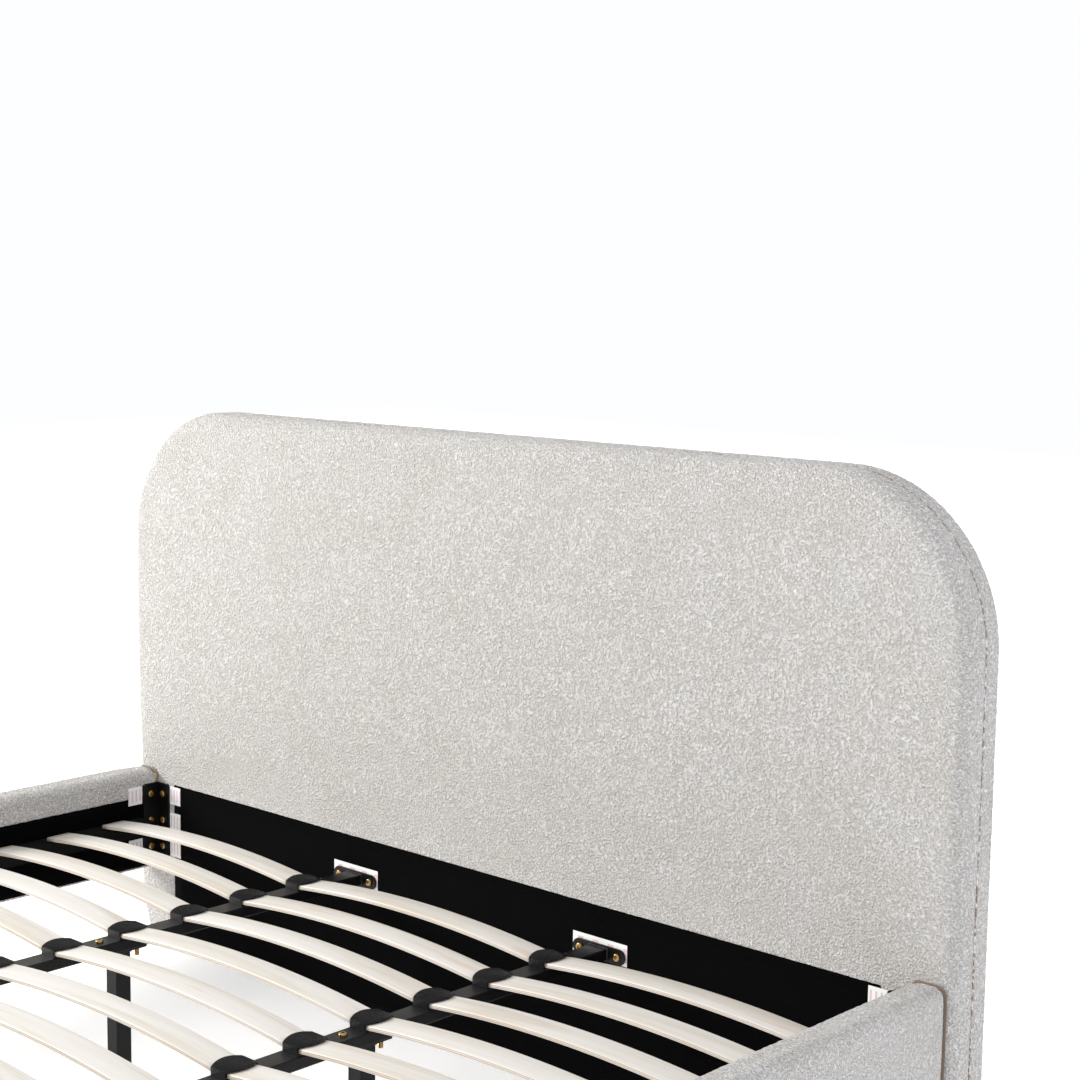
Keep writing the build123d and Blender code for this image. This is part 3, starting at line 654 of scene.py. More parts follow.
def powder_coat(fittings):
    """Mild steel with black powder coat: satin, with a slight orange peel and lighter, rougher worn
    patches.
    """
    material, tree, shader, place = new_material(
        "mild_steel_powder_coated", Specular_IOR_Level=0.22)
    # Orange peel waves are 2 mm across
    peel = add(tree, "ShaderNodeTexNoise", None, {"Vector": place, "Scale": 500.0, "Detail": 2.0})
    wear = add(tree, "ShaderNodeTexNoise", None, {"Vector": place, "Scale": 18.0, "Detail": 6.0,
                                                  "Roughness": 0.7})
    lighter = tuple(1.8 * c + 0.002 for c in fittings.coat[:3]) + (1.0,)
    colour = add(tree, "ShaderNodeValToRGB",
                 {"stops": [(0.45, tuple(fittings.coat)), (0.80, lighter)]}, {0: wear.outputs[0]})
    gloss = add(tree, "ShaderNodeMapRange", None,
                {"Value": wear.outputs[0], "To Min": 0.28, "To Max": 0.48})
    tree.links.new(colour.outputs[0], shader.inputs["Base Color"])
    tree.links.new(gloss.outputs[0], shader.inputs["Roughness"])
    bump(tree, shader, peel.outputs[0], 0.12, 0.0004)
    return material


def moulded_plastic(fittings):
    """Polypropylene, moulded in a spark-eroded tool: grey-black with a soft sheen and fine grain."""
    material, tree, shader, place = new_material(
        "polypropylene_moulded", IOR=1.49, Specular_IOR_Level=0.22)
    # Tool grain is 0.3 mm, drawn at 0.8 mm so that it shows
    grain = add(tree, "ShaderNodeTexNoise", None, {"Vector": place, "Scale": 1250.0, "Detail": 2.0})
    flow = add(tree, "ShaderNodeTexNoise", None, {"Vector": place, "Scale": 40.0, "Detail": 2.0})
    lighter = tuple(1.5 * c for c in fittings.plastic[:3]) + (1.0,)
    colour = add(tree, "ShaderNodeValToRGB",
                 {"stops": [(0.4, tuple(fittings.plastic)), (0.7, lighter)]}, {0: flow.outputs[0]})
    gloss = add(tree, "ShaderNodeMapRange", None,
                {"Value": flow.outputs[0], "To Min": 0.20, "To Max": 0.34})
    tree.links.new(colour.outputs[0], shader.inputs["Base Color"])
    tree.links.new(gloss.outputs[0], shader.inputs["Roughness"])
    bump(tree, shader, grain.outputs[0], 0.12, 0.0002)
    return material


def yellow_zinc(fittings):
    """Zinc-plated steel, yellow passivated: gold with green and pink bloom, slightly frosted."""
    material, tree, shader, place = new_material("steel_zinc_yellow_passivated", Metallic=1.0)
    bloom = add(tree, "ShaderNodeTexNoise", None, {"Vector": place, "Scale": 120.0, "Detail": 2.0})
    colour = add(tree, "ShaderNodeValToRGB",
                 {"stops": [(0.35, linear("#8F8F66")), (0.48, tuple(fittings.zinc)),
                            (0.60, linear("#BE9F68")), (0.70, linear("#A87A76"))]},
                 {0: bloom.outputs[0]})
    frost = add(tree, "ShaderNodeTexNoise", None, {"Vector": place, "Scale": 900.0, "Detail": 2.0})
    gloss = add(tree, "ShaderNodeMapRange", None,
                {"Value": frost.outputs[0], "To Min": 0.18, "To Max": 0.36})
    tree.links.new(colour.outputs[0], shader.inputs["Base Color"])
    tree.links.new(gloss.outputs[0], shader.inputs["Roughness"])
    bump(tree, shader, frost.outputs[0], 0.08, 0.0002)
    return material


def weld_metal(fittings):
    """MIG weld under powder coat: black and glossy, lumpy from the torch's steps."""
    material, tree, shader, place = new_material(
        "weld_bead_powder_coated", Roughness=0.35, Coat_Weight=0.2)
    spatter = add(tree, "ShaderNodeTexNoise", None, {"Vector": place, "Scale": 300.0, "Detail": 3.0})
    lighter = tuple(1.6 * c for c in fittings.coat[:3]) + (1.0,)
    colour = add(tree, "ShaderNodeValToRGB",
                 {"stops": [(0.4, tuple(fittings.coat)), (0.8, lighter)]}, {0: spatter.outputs[0]})
    tree.links.new(colour.outputs[0], shader.inputs["Base Color"])
    bump(tree, shader, spatter.outputs[0], 0.4, 0.0004)
    return material


def printed_paper():
    """Self-adhesive paper: white and slightly shiny, with plain pale bars in place of print."""
    material, tree, shader, _ = new_material("label_paper_coated", Roughness=0.45)
    chart = add(tree, "ShaderNodeUVMap").outputs[0]
    axes = add(tree, "ShaderNodeSeparateXYZ", None, {0: chart})
    bars = add(tree, "ShaderNodeMath", {"operation": "PINGPONG"}, {0: axes.outputs[0], 1: 0.14})
    in_bar = add(tree, "ShaderNodeMath", {"operation": "GREATER_THAN"}, {0: bars.outputs[0], 1: 0.085})
    run = add(tree, "ShaderNodeMath", {"operation": "PINGPONG"}, {0: axes.outputs[1], 1: 0.5})
    in_run = add(tree, "ShaderNodeMath", {"operation": "GREATER_THAN"}, {0: run.outputs[0], 1: 0.17})
    both = add(tree, "ShaderNodeMath", {"operation": "MULTIPLY"},
               {0: in_bar.outputs[0], 1: in_run.outputs[0]})
    mottle = add(tree, "ShaderNodeTexNoise", None, {"Vector": chart, "Scale": 60.0, "Detail": 4.0})
    faded = add(tree, "ShaderNodeMath", {"operation": "MULTIPLY"},
                {0: both.outputs[0], 1: mottle.outputs[0]})
    colour = add(tree, "ShaderNodeMix", {"data_type": "RGBA"},
                 {0: faded.outputs[0], 6: linear("#F2F1EF"), 7: linear("#C98AA0")})
    tree.links.new(colour.outputs[2], shader.inputs["Base Color"])
    bump(tree, shader, mottle.outputs[0], 0.1, 0.0002)
    return material


def staple_wire():
    """Galvanised staple wire: bright grey, drawn, with faint lines."""
    material, tree, shader, place = new_material("staple_wire_galvanised", Metallic=1.0)
    lines = add(tree, "ShaderNodeTexNoise", None, {"Vector": place, "Scale": 700.0, "Detail": 2.0})
    colour = add(tree, "ShaderNodeValToRGB",
                 {"stops": [(0.3, linear("#9A9C9E")), (0.7, linear("#D5D6D8"))]},
                 {0: lines.outputs[0]})
    gloss = add(tree, "ShaderNodeMapRange", None,
                {"Value": lines.outputs[0], "To Min": 0.25, "To Max": 0.45})
    tree.links.new(colour.outputs[0], shader.inputs["Base Color"])
    tree.links.new(gloss.outputs[0], shader.inputs["Roughness"])
    return material


MATERIALS = {}


def prepare_materials(scene):
    """Makes every material once, from the settings."""
    if MATERIALS:
        return
    MATERIALS["boucle"] = boucle(scene.bed_upholstery)
    MATERIALS["lining"] = nonwoven(scene.bed_upholstery)
    MATERIALS["thread"] = seam_thread(scene.bed_upholstery)
    MATERIALS["birch"] = birch(scene.bed_timber)
    MATERIALS["pine"] = pine(scene.bed_timber)
    MATERIALS["stained"] = stained_pine()
    MATERIALS["gap_shadow_tape"] = shadow_gap_tape()
    MATERIALS["coat"] = powder_coat(scene.bed_fittings)
    MATERIALS["plastic"] = moulded_plastic(scene.bed_fittings)
    MATERIALS["zinc"] = yellow_zinc(scene.bed_fittings)
    MATERIALS["weld"] = weld_metal(scene.bed_fittings)
    MATERIALS["paper"] = printed_paper()
    MATERIALS["staple"] = staple_wire()


# ---------------------------------------------------------------- operators: fabric

class BED_OT_headboard(bpy.types.Operator):
    """Make the headboard's padded front, with its rolled edge"""

    bl_idname = "bed.headboard"
    bl_label = "Headboard front"

    def execute(self, context):
        prepare_materials(context.scene)
        cloth = context.scene.bed_upholstery
        shy = cloth.swell / 3
        low = HEAD_LOW + Vector((shy, shy / 2, 0))
        high = HEAD_HIGH + Vector((-shy, SEAM_SPARE, -shy))
        form = board_form(low, high, HEAD_CORNER - shy, HEAD_ROLL, 0)
        piece = piece_from(mesh_from(form, "headboard_upholstery"), "headboard_upholstery",
                           [MATERIALS["boucle"]])
        remesh(piece, HEAD_VOXEL)
        draw_in_toes(piece.data.vertices)

        def held(place):
            return place.y > HEAD_HIGH.y - 0.002 or place.z < FLAT_BELOW

        def reach(place):
            rise = smooth_step(place.z, FLAT_BELOW, FULL_ABOVE)
            turn = smooth_step(place.y, HEAD_FACE, HEAD_FACE + HEAD_ROLL)
            return cloth.swell * rise * (1 - 0.6 * turn)

        stuff(piece, held, reach)
        waver(piece.data, 0.22, 0.0012, 3.0)
        self.gather_feet(piece.data)
        self.trim(piece.data)
        cover_in_boucle(piece, cloth.loop_height)
        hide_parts("headboard_cover", "headboard_foam")
        return {"FINISHED"}

    def gather_feet(self, mesh):
        """Puckers the fabric upright beside the lining, where it is pulled under the board."""
        for vert in mesh.vertices:
            side = abs(vert.co.x)
            if side < 0.880 or vert.co.y > HEAD_FACE + 0.02 or vert.co.z > 0.20:
                continue
            fade = 1 - smooth_step(vert.co.z, 0.03, 0.20)
            bend = 0.010 * noise.noise(vert.co * 18)
            vert.co.y += 0.0016 * fade * math.sin((side + bend) * math.tau / 0.021)

    def trim(self, mesh):
        """Cuts the form at the seam, closes it, and sinks the part that the lining covers."""
        bm = bmesh.new()
        bm.from_mesh(mesh)
        whole = bm.verts[:] + bm.edges[:] + bm.faces[:]
        seam = Vector((0, HEAD_HIGH.y - 0.0006, 0))
        bmesh.ops.bisect_plane(bm, geom=whole, plane_co=seam, plane_no=(0, 1, 0),
                               clear_outer=True, dist=1e-5)
        open_window(bm, Vector((0, -1, 0)),
                    (HEAD_LINER_LOW.x - 0.0003, 0, 0.010),
                    (HEAD_LINER_HIGH.x + 0.0003, 0, HEAD_LINER_HIGH.z), FOLD)
        rim = [e for e in bm.edges if e.is_boundary]
        bmesh.ops.triangle_fill(bm, edges=rim, use_beauty=True)
        crease = bm.edges.layers.float["crease_edge"]
        for edge in rim:
            if edge.is_valid:
                edge[crease] = 0.8
        bmesh.ops.recalc_face_normals(bm, faces=bm.faces)
        bm.to_mesh(mesh)
        bm.free()
        mesh.polygons.foreach_set("use_smooth", [True] * len(mesh.polygons))


def edge_ring(name, depth_low, depth_high, inset, lip, roll):
    """A strip that follows the headboard's outline, with its edges turned in."""
    low = Vector((HEAD_LOW.x + inset, depth_low, HEAD_LOW.z + inset))
    high = Vector((HEAD_HIGH.x - inset, depth_high, HEAD_HIGH.z - inset))
    bm = board_form(low, high, HEAD_CORNER - inset, 0, 0)
    for depth, turned in ((depth_low, 0.004), (depth_high, lip)):
        disc = [f for f in bm.faces if all(abs(v.co.y - depth) < 1e-5 for v in f.verts)]
        if depth == depth_high and roll:
            rim = list({e for f in disc for e in f.edges})
            round_over(bm, rim, roll, 3)
            disc = [f for f in bm.faces
                    if all(abs(v.co.y - depth) < 1e-5 for v in f.verts) and f.calc_area() > 0.5]
        bmesh.ops.inset_region(bm, faces=disc, thickness=turned, use_even_offset=True)
        bmesh.ops.delete(bm, geom=disc, context="FACES")
    cut_every(bm, 0, 0.009)
    cut_every(bm, 2, 0.009)
    draw_in_toes(bm.verts)
    return mesh_from(bm, name)


class BED_OT_edge_strip(bpy.types.Operator):
    """Make the fabric strip round the headboard's edge and the thread in its seam"""

    bl_idname = "bed.edge_strip"
    bl_label = "Headboard edge strip and seam"

    def execute(self, context):
        prepare_materials(context.scene)
        cloth = context.scene.bed_upholstery
        strip = edge_ring("headboard_edge_strip", BAND_LOW.y + 0.0008, BAND_HIGH.y - 0.0006, 0.0006,
                          STRIP_LIP, 0.004)
        piece = piece_from(strip, "headboard_edge_strip", [MATERIALS["boucle"]])
        loop_surface(piece, cloth.loop_height)
        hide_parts("headboard_edge_band")
        thread = edge_ring("headboard_seam_thread", BAND_LOW.y - 0.0014, BAND_LOW.y + 0.0014,
                           0.0008, 0.004, 0)
        piece_from(thread, "headboard_seam_thread", [MATERIALS["thread"]])
        return {"FINISHED"}


class BED_OT_footboard(bpy.types.Operator):
    """Make the footboard's padded cover"""

    bl_idname = "bed.footboard"
    bl_label = "Footboard cover"

    def execute(self, context):
        prepare_materials(context.scene)
        cloth = context.scene.bed_upholstery
        shy = cloth.swell / 3
        low = FOOT_LOW + Vector((shy, shy, 0))
        high = FOOT_HIGH + Vector((-shy, 0, -shy))
        form = board_form(low, high, FOOT_CORNER, FOOT_OUTER_ROLL, FOOT_INNER_ROLL)
        piece = piece_from(mesh_from(form, "footboard_upholstery"), "footboard_upholstery",
                           [MATERIALS["boucle"]])
        remesh(piece, FOOT_VOXEL)
        draw_in_toes(piece.data.vertices)

        def held(place):
            return place.y > FOOT_FACE - 0.006 or place.z < 0.03

        def reach(place):
            low_end = smooth_step(place.z, 0.03, 0.12)
            turn = smooth_step(place.y, FOOT_LOW.y, FOOT_LOW.y + 0.03)
            return cloth.swell * low_end * (1 - 0.6 * turn)

        stuff(piece, held, reach)
        waver(piece.data, 0.20, 0.0010, 9.0)
        bm = bmesh.new()
        bm.from_mesh(piece.data)
        open_window(bm, Vector((0, 1, 0)),
                    (FOOT_LINER_LOW.x - 0.0003, 0, 0.010),
                    (FOOT_LINER_HIGH.x + 0.0003, 0, FOOT_LINER_HIGH.z), FOLD)
        bm.to_mesh(piece.data)
        bm.free()
        cover_in_boucle(piece, cloth.loop_height)
        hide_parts("footboard_cover", "footboard_foam")
        return {"FINISHED"}


class BED_OT_rails(bpy.types.Operator):
    """Make the padded covers of the two side rails"""

    bl_idname = "bed.rails"
    bl_label = "Side rail covers"

    def execute(self, context):
        prepare_materials(context.scene)
        cloth = context.scene.bed_upholstery
        shy = cloth.swell / 3
        low = RAIL_LOW + Vector((0, 0.0002, 0))
        high = RAIL_HIGH + Vector((-shy, -0.0002, -shy))
        form = box_form(low, high)
        middle = (low.z + high.z) / 2
        along = edges_along(form, 1)
        round_over(form, [e for e in along if e.verts[0].co.z > middle], RAIL_TOP_ROLL, 5)
        low_edges = [e for e in edges_along(form, 1) if e.verts[0].co.z < low.z + 1e-5]
        round_over(form, low_edges, RAIL_BOTTOM_ROLL, 3)
        right = piece_from(mesh_from(form, "rail_upholstery_right"), "rail_upholstery_right",
                           [MATERIALS["boucle"]])
        remesh(right, RAIL_VOXEL)

        def held(place):
            lined = place.x < RAIL_LOW.x + 0.010 and place.z < 0.35
            ends = place.y > RAIL_HIGH.y - 0.012 or place.y < RAIL_LOW.y + 0.012
            return lined or ends or place.z < RAIL_LOW.z + 0.006

        def reach(place):
            nearest_end = min(RAIL_HIGH.y - place.y, place.y - RAIL_LOW.y)
            outer = smooth_step(place.x, RAIL_LOW.x + 0.02, RAIL_HIGH.x)
            return cloth.swell * (0.35 + 0.45 * outer) * smooth_step(nearest_end, 0.012, 0.08)

        stuff(right, held, reach)
        waver(right.data, 0.16, 0.0010, 5.0)
        bm = bmesh.new()
        bm.from_mesh(right.data)
        open_window(bm, Vector((-1, 0, 0)),
                    (0, RAIL_LINER_LOW.y - 0.0003, RAIL_LINER_LOW.z),
                    (0, RAIL_LINER_HIGH.y + 0.0003, RAIL_LINER_HIGH.z), FOLD)
        bm.to_mesh(right.data)
        bmesh.ops.scale(bm, vec=(-1, 1, 1), verts=bm.verts)
        bmesh.ops.recalc_face_normals(bm, faces=bm.faces)
        left = piece_from(mesh_from(bm, "rail_upholstery_left"), "rail_upholstery_left",
                          [MATERIALS["boucle"]])
        for piece, side in ((right, "right"), (left, "left")):
            cover_in_boucle(piece, cloth.loop_height)
            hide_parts("rail_cover_" + side, "rail_foam_" + side)
        self.end_shadow_tapes(shy)
        return {"FINISHED"}

    def end_shadow_tapes(self, shy):
        """A thin dark tape round each end of the rails, where the cover is turned in; its colour also
        paints the shadow in the gap between rail and board.
        """
        low = RAIL_LOW + Vector((SHADOW_TAPE_PROUD, 0, 0))
        high = RAIL_HIGH + Vector((SHADOW_TAPE_PROUD - shy, 0, SHADOW_TAPE_PROUD - shy))
        bm = bmesh.new()
        for start in (RAIL_LOW.y + 0.0003, RAIL_HIGH.y - 0.0003 - SHADOW_TAPE_WIDTH):
            ring = box_form((low.x, start, low.z), (high.x, start + SHADOW_TAPE_WIDTH, high.z))
            middle = (low.z + high.z) / 2
            round_over(ring, [e for e in edges_along(ring, 1) if e.verts[0].co.z > middle],
                       RAIL_TOP_ROLL, 8)
            gap_shadow_tape = mesh_from(ring, "gap_shadow_tape")
            stamp(bm, gap_shadow_tape, Matrix.Identity(4))
            stamp(bm, gap_shadow_tape, Matrix.Scale(-1, 4, (1, 0, 0)))
        bmesh.ops.recalc_face_normals(bm, faces=bm.faces)
        piece_from(mesh_from(bm, "rail_end_shadow_tapes", sharp=40), "rail_end_shadow_tapes",
                   [MATERIALS["gap_shadow_tape"]])


def lining_sheet(low, high, axis):
    """A flat sheet between two corners, across an axis, cut fine enough to ripple a little."""
    low, high = Vector(low), Vector(high)
    bm = bmesh.new()
    bmesh.ops.create_grid(bm, x_segments=60, y_segments=14, size=0.5)
    bmesh.ops.rotate(bm, matrix=Matrix.Rotation(math.pi / 2, 3, "X"), verts=bm.verts)
    if axis == 0:
        bmesh.ops.rotate(bm, matrix=Matrix.Rotation(math.pi / 2, 3, "Z"), verts=bm.verts)
    size = high - low
    size[axis] = 1.0
    bmesh.ops.scale(bm, vec=size, verts=bm.verts)
    bmesh.ops.translate(bm, vec=(low + high) / 2, verts=bm.verts)
    for vert in bm.verts:
        vert.co[axis] += 0.0003 * noise.noise(vert.co * 11)
    return bm


def stretch_lining(piece):
    thick = piece.modifiers.new("Thick", "SOLIDIFY")
    thick.thickness = LINING
    thick.offset = 0.0


class BED_OT_linings(bpy.types.Operator):
    """Make the black linings on the headboard, footboard and rails, and the staples behind"""

    bl_idname = "bed.linings"
    bl_label = "Black linings"

    def execute(self, context):
        prepare_materials(context.scene)
        spots = [("headboard_front_lining", "headboard_liner", 1, "headboard_lower_board"),
                 ("footboard_lining", "footboard_liner", 1, "footboard_timber"),
                 ("rail_lining_left", "rail_liner_left", 0, "rail_timber_left"),
                 ("rail_lining_right", "rail_liner_right", 0, "rail_timber_right")]
        for name, node, axis, backing in spots:
            low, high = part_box(node)
            bm = lining_sheet(low, high, axis)
            piece = piece_from(mesh_from(bm, name), name, [MATERIALS["lining"]])
            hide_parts(node)
            stretch_lining(piece)
        self.back_lining()
        self.staples()
        return {"FINISHED"}

    def back_lining(self):
        """The sheet over the headboard's back, with round top corners."""
        low = Vector((HEAD_LOW.x + BACK_INSET, BACK_LOW.y, HEAD_LOW.z + BACK_INSET))
        high = Vector((HEAD_HIGH.x - BACK_INSET, BACK_HIGH.y - 0.0004, HEAD_HIGH.z - BACK_INSET))
        bm = board_form(low, high, HEAD_CORNER - BACK_INSET, 0, 0)
        front = [f for f in bm.faces if f.normal.y < 0.9]
        bmesh.ops.delete(bm, geom=front, context="FACES")
        area = sum(f.calc_area() for f in bm.faces)
        cut_every(bm, 0, 0.035)
        cut_every(bm, 2, 0.035)
        draw_in_toes(bm.verts)
        for vert in bm.verts:
            if not vert.is_boundary:
                vert.co.y -= 0.0006 + 0.0006 * noise.noise(vert.co * 6)
        piece = piece_from(mesh_from(bm, "headboard_back_lining"), "headboard_back_lining",
                           [MATERIALS["lining"]])
        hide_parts("headboard_back_cover")
        stretch_lining(piece)

    def staples(self):
        """A row of staples round the back lining."""
        wire = box_form((-0.006, -0.0004, -0.0006), (0.006, 0.0004, 0.0006))
        round_over(wire, wire.edges[:], 0.0002, 1)
        staple = mesh_from(wire, "staple")
        bm = bmesh.new()
        for x, z, angle in back_outline(0.020, STAPLE_STEP):
            turn = Matrix.Rotation(-angle, 4, "Y")
            stamp(bm, staple, Matrix.Translation((x, BACK_HIGH.y + 0.0002, z)) @ turn)
        piece_from(mesh_from(bm, "back_staples", sharp=40), "back_staples",
                   [MATERIALS["staple"]])


def back_outline(inset, step):
    """Even places and directions round the headboard's back, a little inside its edge."""
    half = HEAD_HIGH.x - inset
    top = HEAD_HIGH.z - inset
    radius = HEAD_CORNER - inset
    rise = top - radius - TOE_HEIGHT
    crest = 2 * (half - radius)
    bend = radius * math.pi / 2
    total = 2 * rise + 2 * bend + crest
    count = round(total / step)
    for index in range(count + 1):
        run = total * index / count
        if run < rise:
            yield -half, TOE_HEIGHT + run, math.pi / 2
        elif run < rise + bend:
            turn = (run - rise) / radius
            yield (-half + radius - radius * math.cos(turn), top - radius + radius * math.sin(turn),
                   math.pi / 2 - turn)
        elif run < rise + bend + crest:
            yield -half + radius + run - rise - bend, top, 0.0
        elif run < rise + 2 * bend + crest:
            turn = (run - rise - bend - crest) / radius
            yield (half - radius + radius * math.sin(turn), top - radius + radius * math.cos(turn),
                   -turn)
        else:
            yield half, top - radius - (run - rise - 2 * bend - crest), math.pi / 2


# ---------------------------------------------------------------- operators: slats and caps

def slat_prototype(length, drop):
    """One bowed slat along X, its lower corners at Z = 0 and at -drop, with its grain's own axes."""
    bm = box_form((-length / 2, -SLAT_WIDTH / 2, 0), (length / 2, SLAT_WIDTH / 2, SLAT))
    round_over(bm, edges_along(bm, 0), 0.0024, 3)
    ends = [e for e in bm.edges if abs(e.verts[0].co.x - e.verts[1].co.x) < 1e-6
            and abs(e.verts[0].co.x) > length / 2 - 1e-5]
    round_over(bm, ends, 0.0005, 1)
    cut_every(bm, 0, 0.024)
    grain = bm.verts.layers.float_vector.new("grain")
    edge = bm.verts.layers.float.new("edge")
    radius = (length * length / 4 + SLAT_CROWN * SLAT_CROWN) / (2 * SLAT_CROWN)
    for vert in bm.verts:
        x, y = vert.co.x, vert.co.y
        vert[grain] = vert.co.copy()
        at_side = smooth_step(abs(y), SLAT_WIDTH / 2 - 0.0009, SLAT_WIDTH / 2 - 0.0001)
        at_end = smooth_step(abs(x), length / 2 - 0.0008, length / 2 - 0.0001)
        vert[edge] = max(at_side, at_end)
        vert.co.z += math.sqrt(radius * radius - x * x) - radius + SLAT_CROWN
        vert.co.z -= drop * (x / length + 0.5)
    return mesh_from(bm, "slat", sharp=50)


class BED_OT_slats(bpy.types.Operator):
    """Make the bowed slats, three in each row"""

    bl_idname = "bed.slats"
    bl_label = "Bowed slats"

    def execute(self, context):
        prepare_materials(context.scene)
        middle_length = 2 * (BEAM_X - SLAT_END_GAP)
        side_length = SLAT_OUTER_END - BEAM_X - SLAT_END_GAP
        drop = BEAM_TOP + SLAT_SEAT - LEDGER_TOP - 0.0002
        middle = slat_prototype(middle_length, 0.0)
        outer = slat_prototype(side_length, drop)
        side_x = SLAT_OUTER_END - side_length / 2
        seat = BEAM_TOP + SLAT_SEAT
        for number, (node, y) in enumerate(zip(ROW_NODES, ROW_Y)):
            bm = bmesh.new()
            turned = Matrix.Rotation(math.pi, 4, "Z")
            places = [(middle, Matrix.Translation((0, y, seat))),
                      (outer, Matrix.Translation((side_x, y, seat))),
                      (outer, Matrix.Translation((-side_x, y, seat)) @ turned)]
            for column, (prototype, place) in enumerate(places):
                fresh = stamp(bm, prototype, place)
                grain = bm.verts.layers.float_vector.get("grain")
                shift = Vector((1.7 * number + 0.9 * column, 0.31 * number + 0.47 * column, 0))
                for vert in fresh:
                    vert[grain] = Vector(vert[grain]) + shift
            name = "slats_in_row_" + node[-2:]
            piece = piece_from(mesh_from(bm, name, sharp=50), name, [MATERIALS["birch"]])
            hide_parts(node)
        return {"FINISHED"}


def cap_prototype():
    """One ribbed double cap, its foot at Z = 0, open at both sides for the slat ends."""
    bm = bmesh.new()
    bmesh.ops.create_grid(bm, x_segments=4 * CAP_RIBS, y_segments=12, size=1.0)
    for vert in bm.verts:
        across, along = vert.co.x, vert.co.y
        bow = 1 - along * along
        inner = 1 - smooth_step(abs(across), 0.90, 1.0)
        rib = 0.5 - 0.5 * math.cos((across + 1) / 2 * CAP_RIBS * math.tau)
        height = CAP_EDGE_HEIGHT + CAP_CREST * bow - 0.0006 * (1 - inner)
        vert.co = Vector((across * (CAP_HALF_WIDTH + CAP_BULGE * bow), along * CAP_HALF_LENGTH,
                          height + 0.0011 * rib * inner))
    for end in (-1, 1):
        rim = [e for e in bm.edges if e.is_boundary
               and all(v.co.y * end > CAP_HALF_LENGTH - 1e-6 for v in e.verts)]
        wall = bmesh.ops.extrude_edge_only(bm, edges=rim)["geom"]
        foot = [part for part in wall if isinstance(part, bmesh.types.BMVert)]
        for vert in foot:
            vert.co.z = 0.0
        round_over(bm, rim, 0.0005, 1)
    bmesh.ops.recalc_face_normals(bm, faces=bm.faces)
    up = sum(f.normal.z * f.calc_area() for f in bm.faces)
    if up < 0:
        bmesh.ops.reverse_faces(bm, faces=bm.faces)
    bmesh.ops.solidify(bm, geom=bm.faces[:], thickness=CAP_WALL)
    return mesh_from(bm, "slat_cap", sharp=45)


def cap_foot_prototype():
    """The flat foot under one cap, below the slat ends."""
    bm = box_form((-1, -1, 0), (1, 1, 0.0015))
    cut_every(bm, 1, 0.18)
    for vert in bm.verts:
        bow = 1 - vert.co.y * vert.co.y
        vert.co.x *= CAP_HALF_WIDTH + CAP_BULGE * bow - 0.0004
        vert.co.y *= CAP_HALF_LENGTH - 0.0014
    return mesh_from(bm, "cap_foot", sharp=45)


class BED_OT_slat_caps(bpy.types.Operator):
    """Make the ribbed plastic caps that hold the slat ends on the beams"""

    bl_idname = "bed.slat_caps"
    bl_label = "Slat caps"

    def execute(self, context):
        prepare_materials(context.scene)
        cap = cap_prototype()
        foot = cap_foot_prototype()
        for side, sign in (("left", -1), ("right", 1)):
            bm = bmesh.new()
            for y in ROW_Y:
                place = Matrix.Translation((sign * BEAM_X, y, BEAM_TOP + 0.0001))
                stamp(bm, cap, place)
                stamp(bm, foot, place)
            name = "slat_caps_" + side
            piece = piece_from(mesh_from(bm, name, sharp=45), name, [MATERIALS["plastic"]])
            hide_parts("slat_holders_" + side)
        return {"FINISHED"}


# ---------------------------------------------------------------- operators: fittings

def threaded_rod(bm, low, high, crest, root):
    """Adds a screw thread along Z, with its crests and roots at those radii."""
    turns = round((high - low) / THREAD_PITCH)
    profile = []
    for index in range(2 * turns + 1):
        radius = crest if index % 2 else root
        profile.append(bm.verts.new((radius, 0, low + index * THREAD_PITCH / 2)))
    edges = [bm.edges.new(pair) for pair in zip(profile, profile[1:])]
    steps = 16
    bmesh.ops.spin(bm, geom=profile + edges, cent=(0, 0, 0), axis=(0, 0, 1),
                   dvec=(0, 0, THREAD_PITCH / steps), angle=math.tau, steps=steps)
    bmesh.ops.remove_doubles(bm, verts=bm.verts, dist=0.00002)
    bmesh.ops.recalc_face_normals(bm, faces=bm.faces)


def disc(bm, radius, low, high, segments):
    """Adds a cylinder along Z and returns its points."""
    place = Matrix.Translation((0, 0, (low + high) / 2))
    return bmesh.ops.create_cone(bm, cap_ends=True, segments=segments, radius1=radius,
                                 radius2=radius, depth=high - low, matrix=place)["verts"]


def rim_edges(verts, height):
    """The edges of a cylinder's rim at a height."""
    found = {e for v in verts for e in v.link_edges}
    return [e for e in found if all(abs(v.co.z - height) < 1e-6 for v in e.verts)]


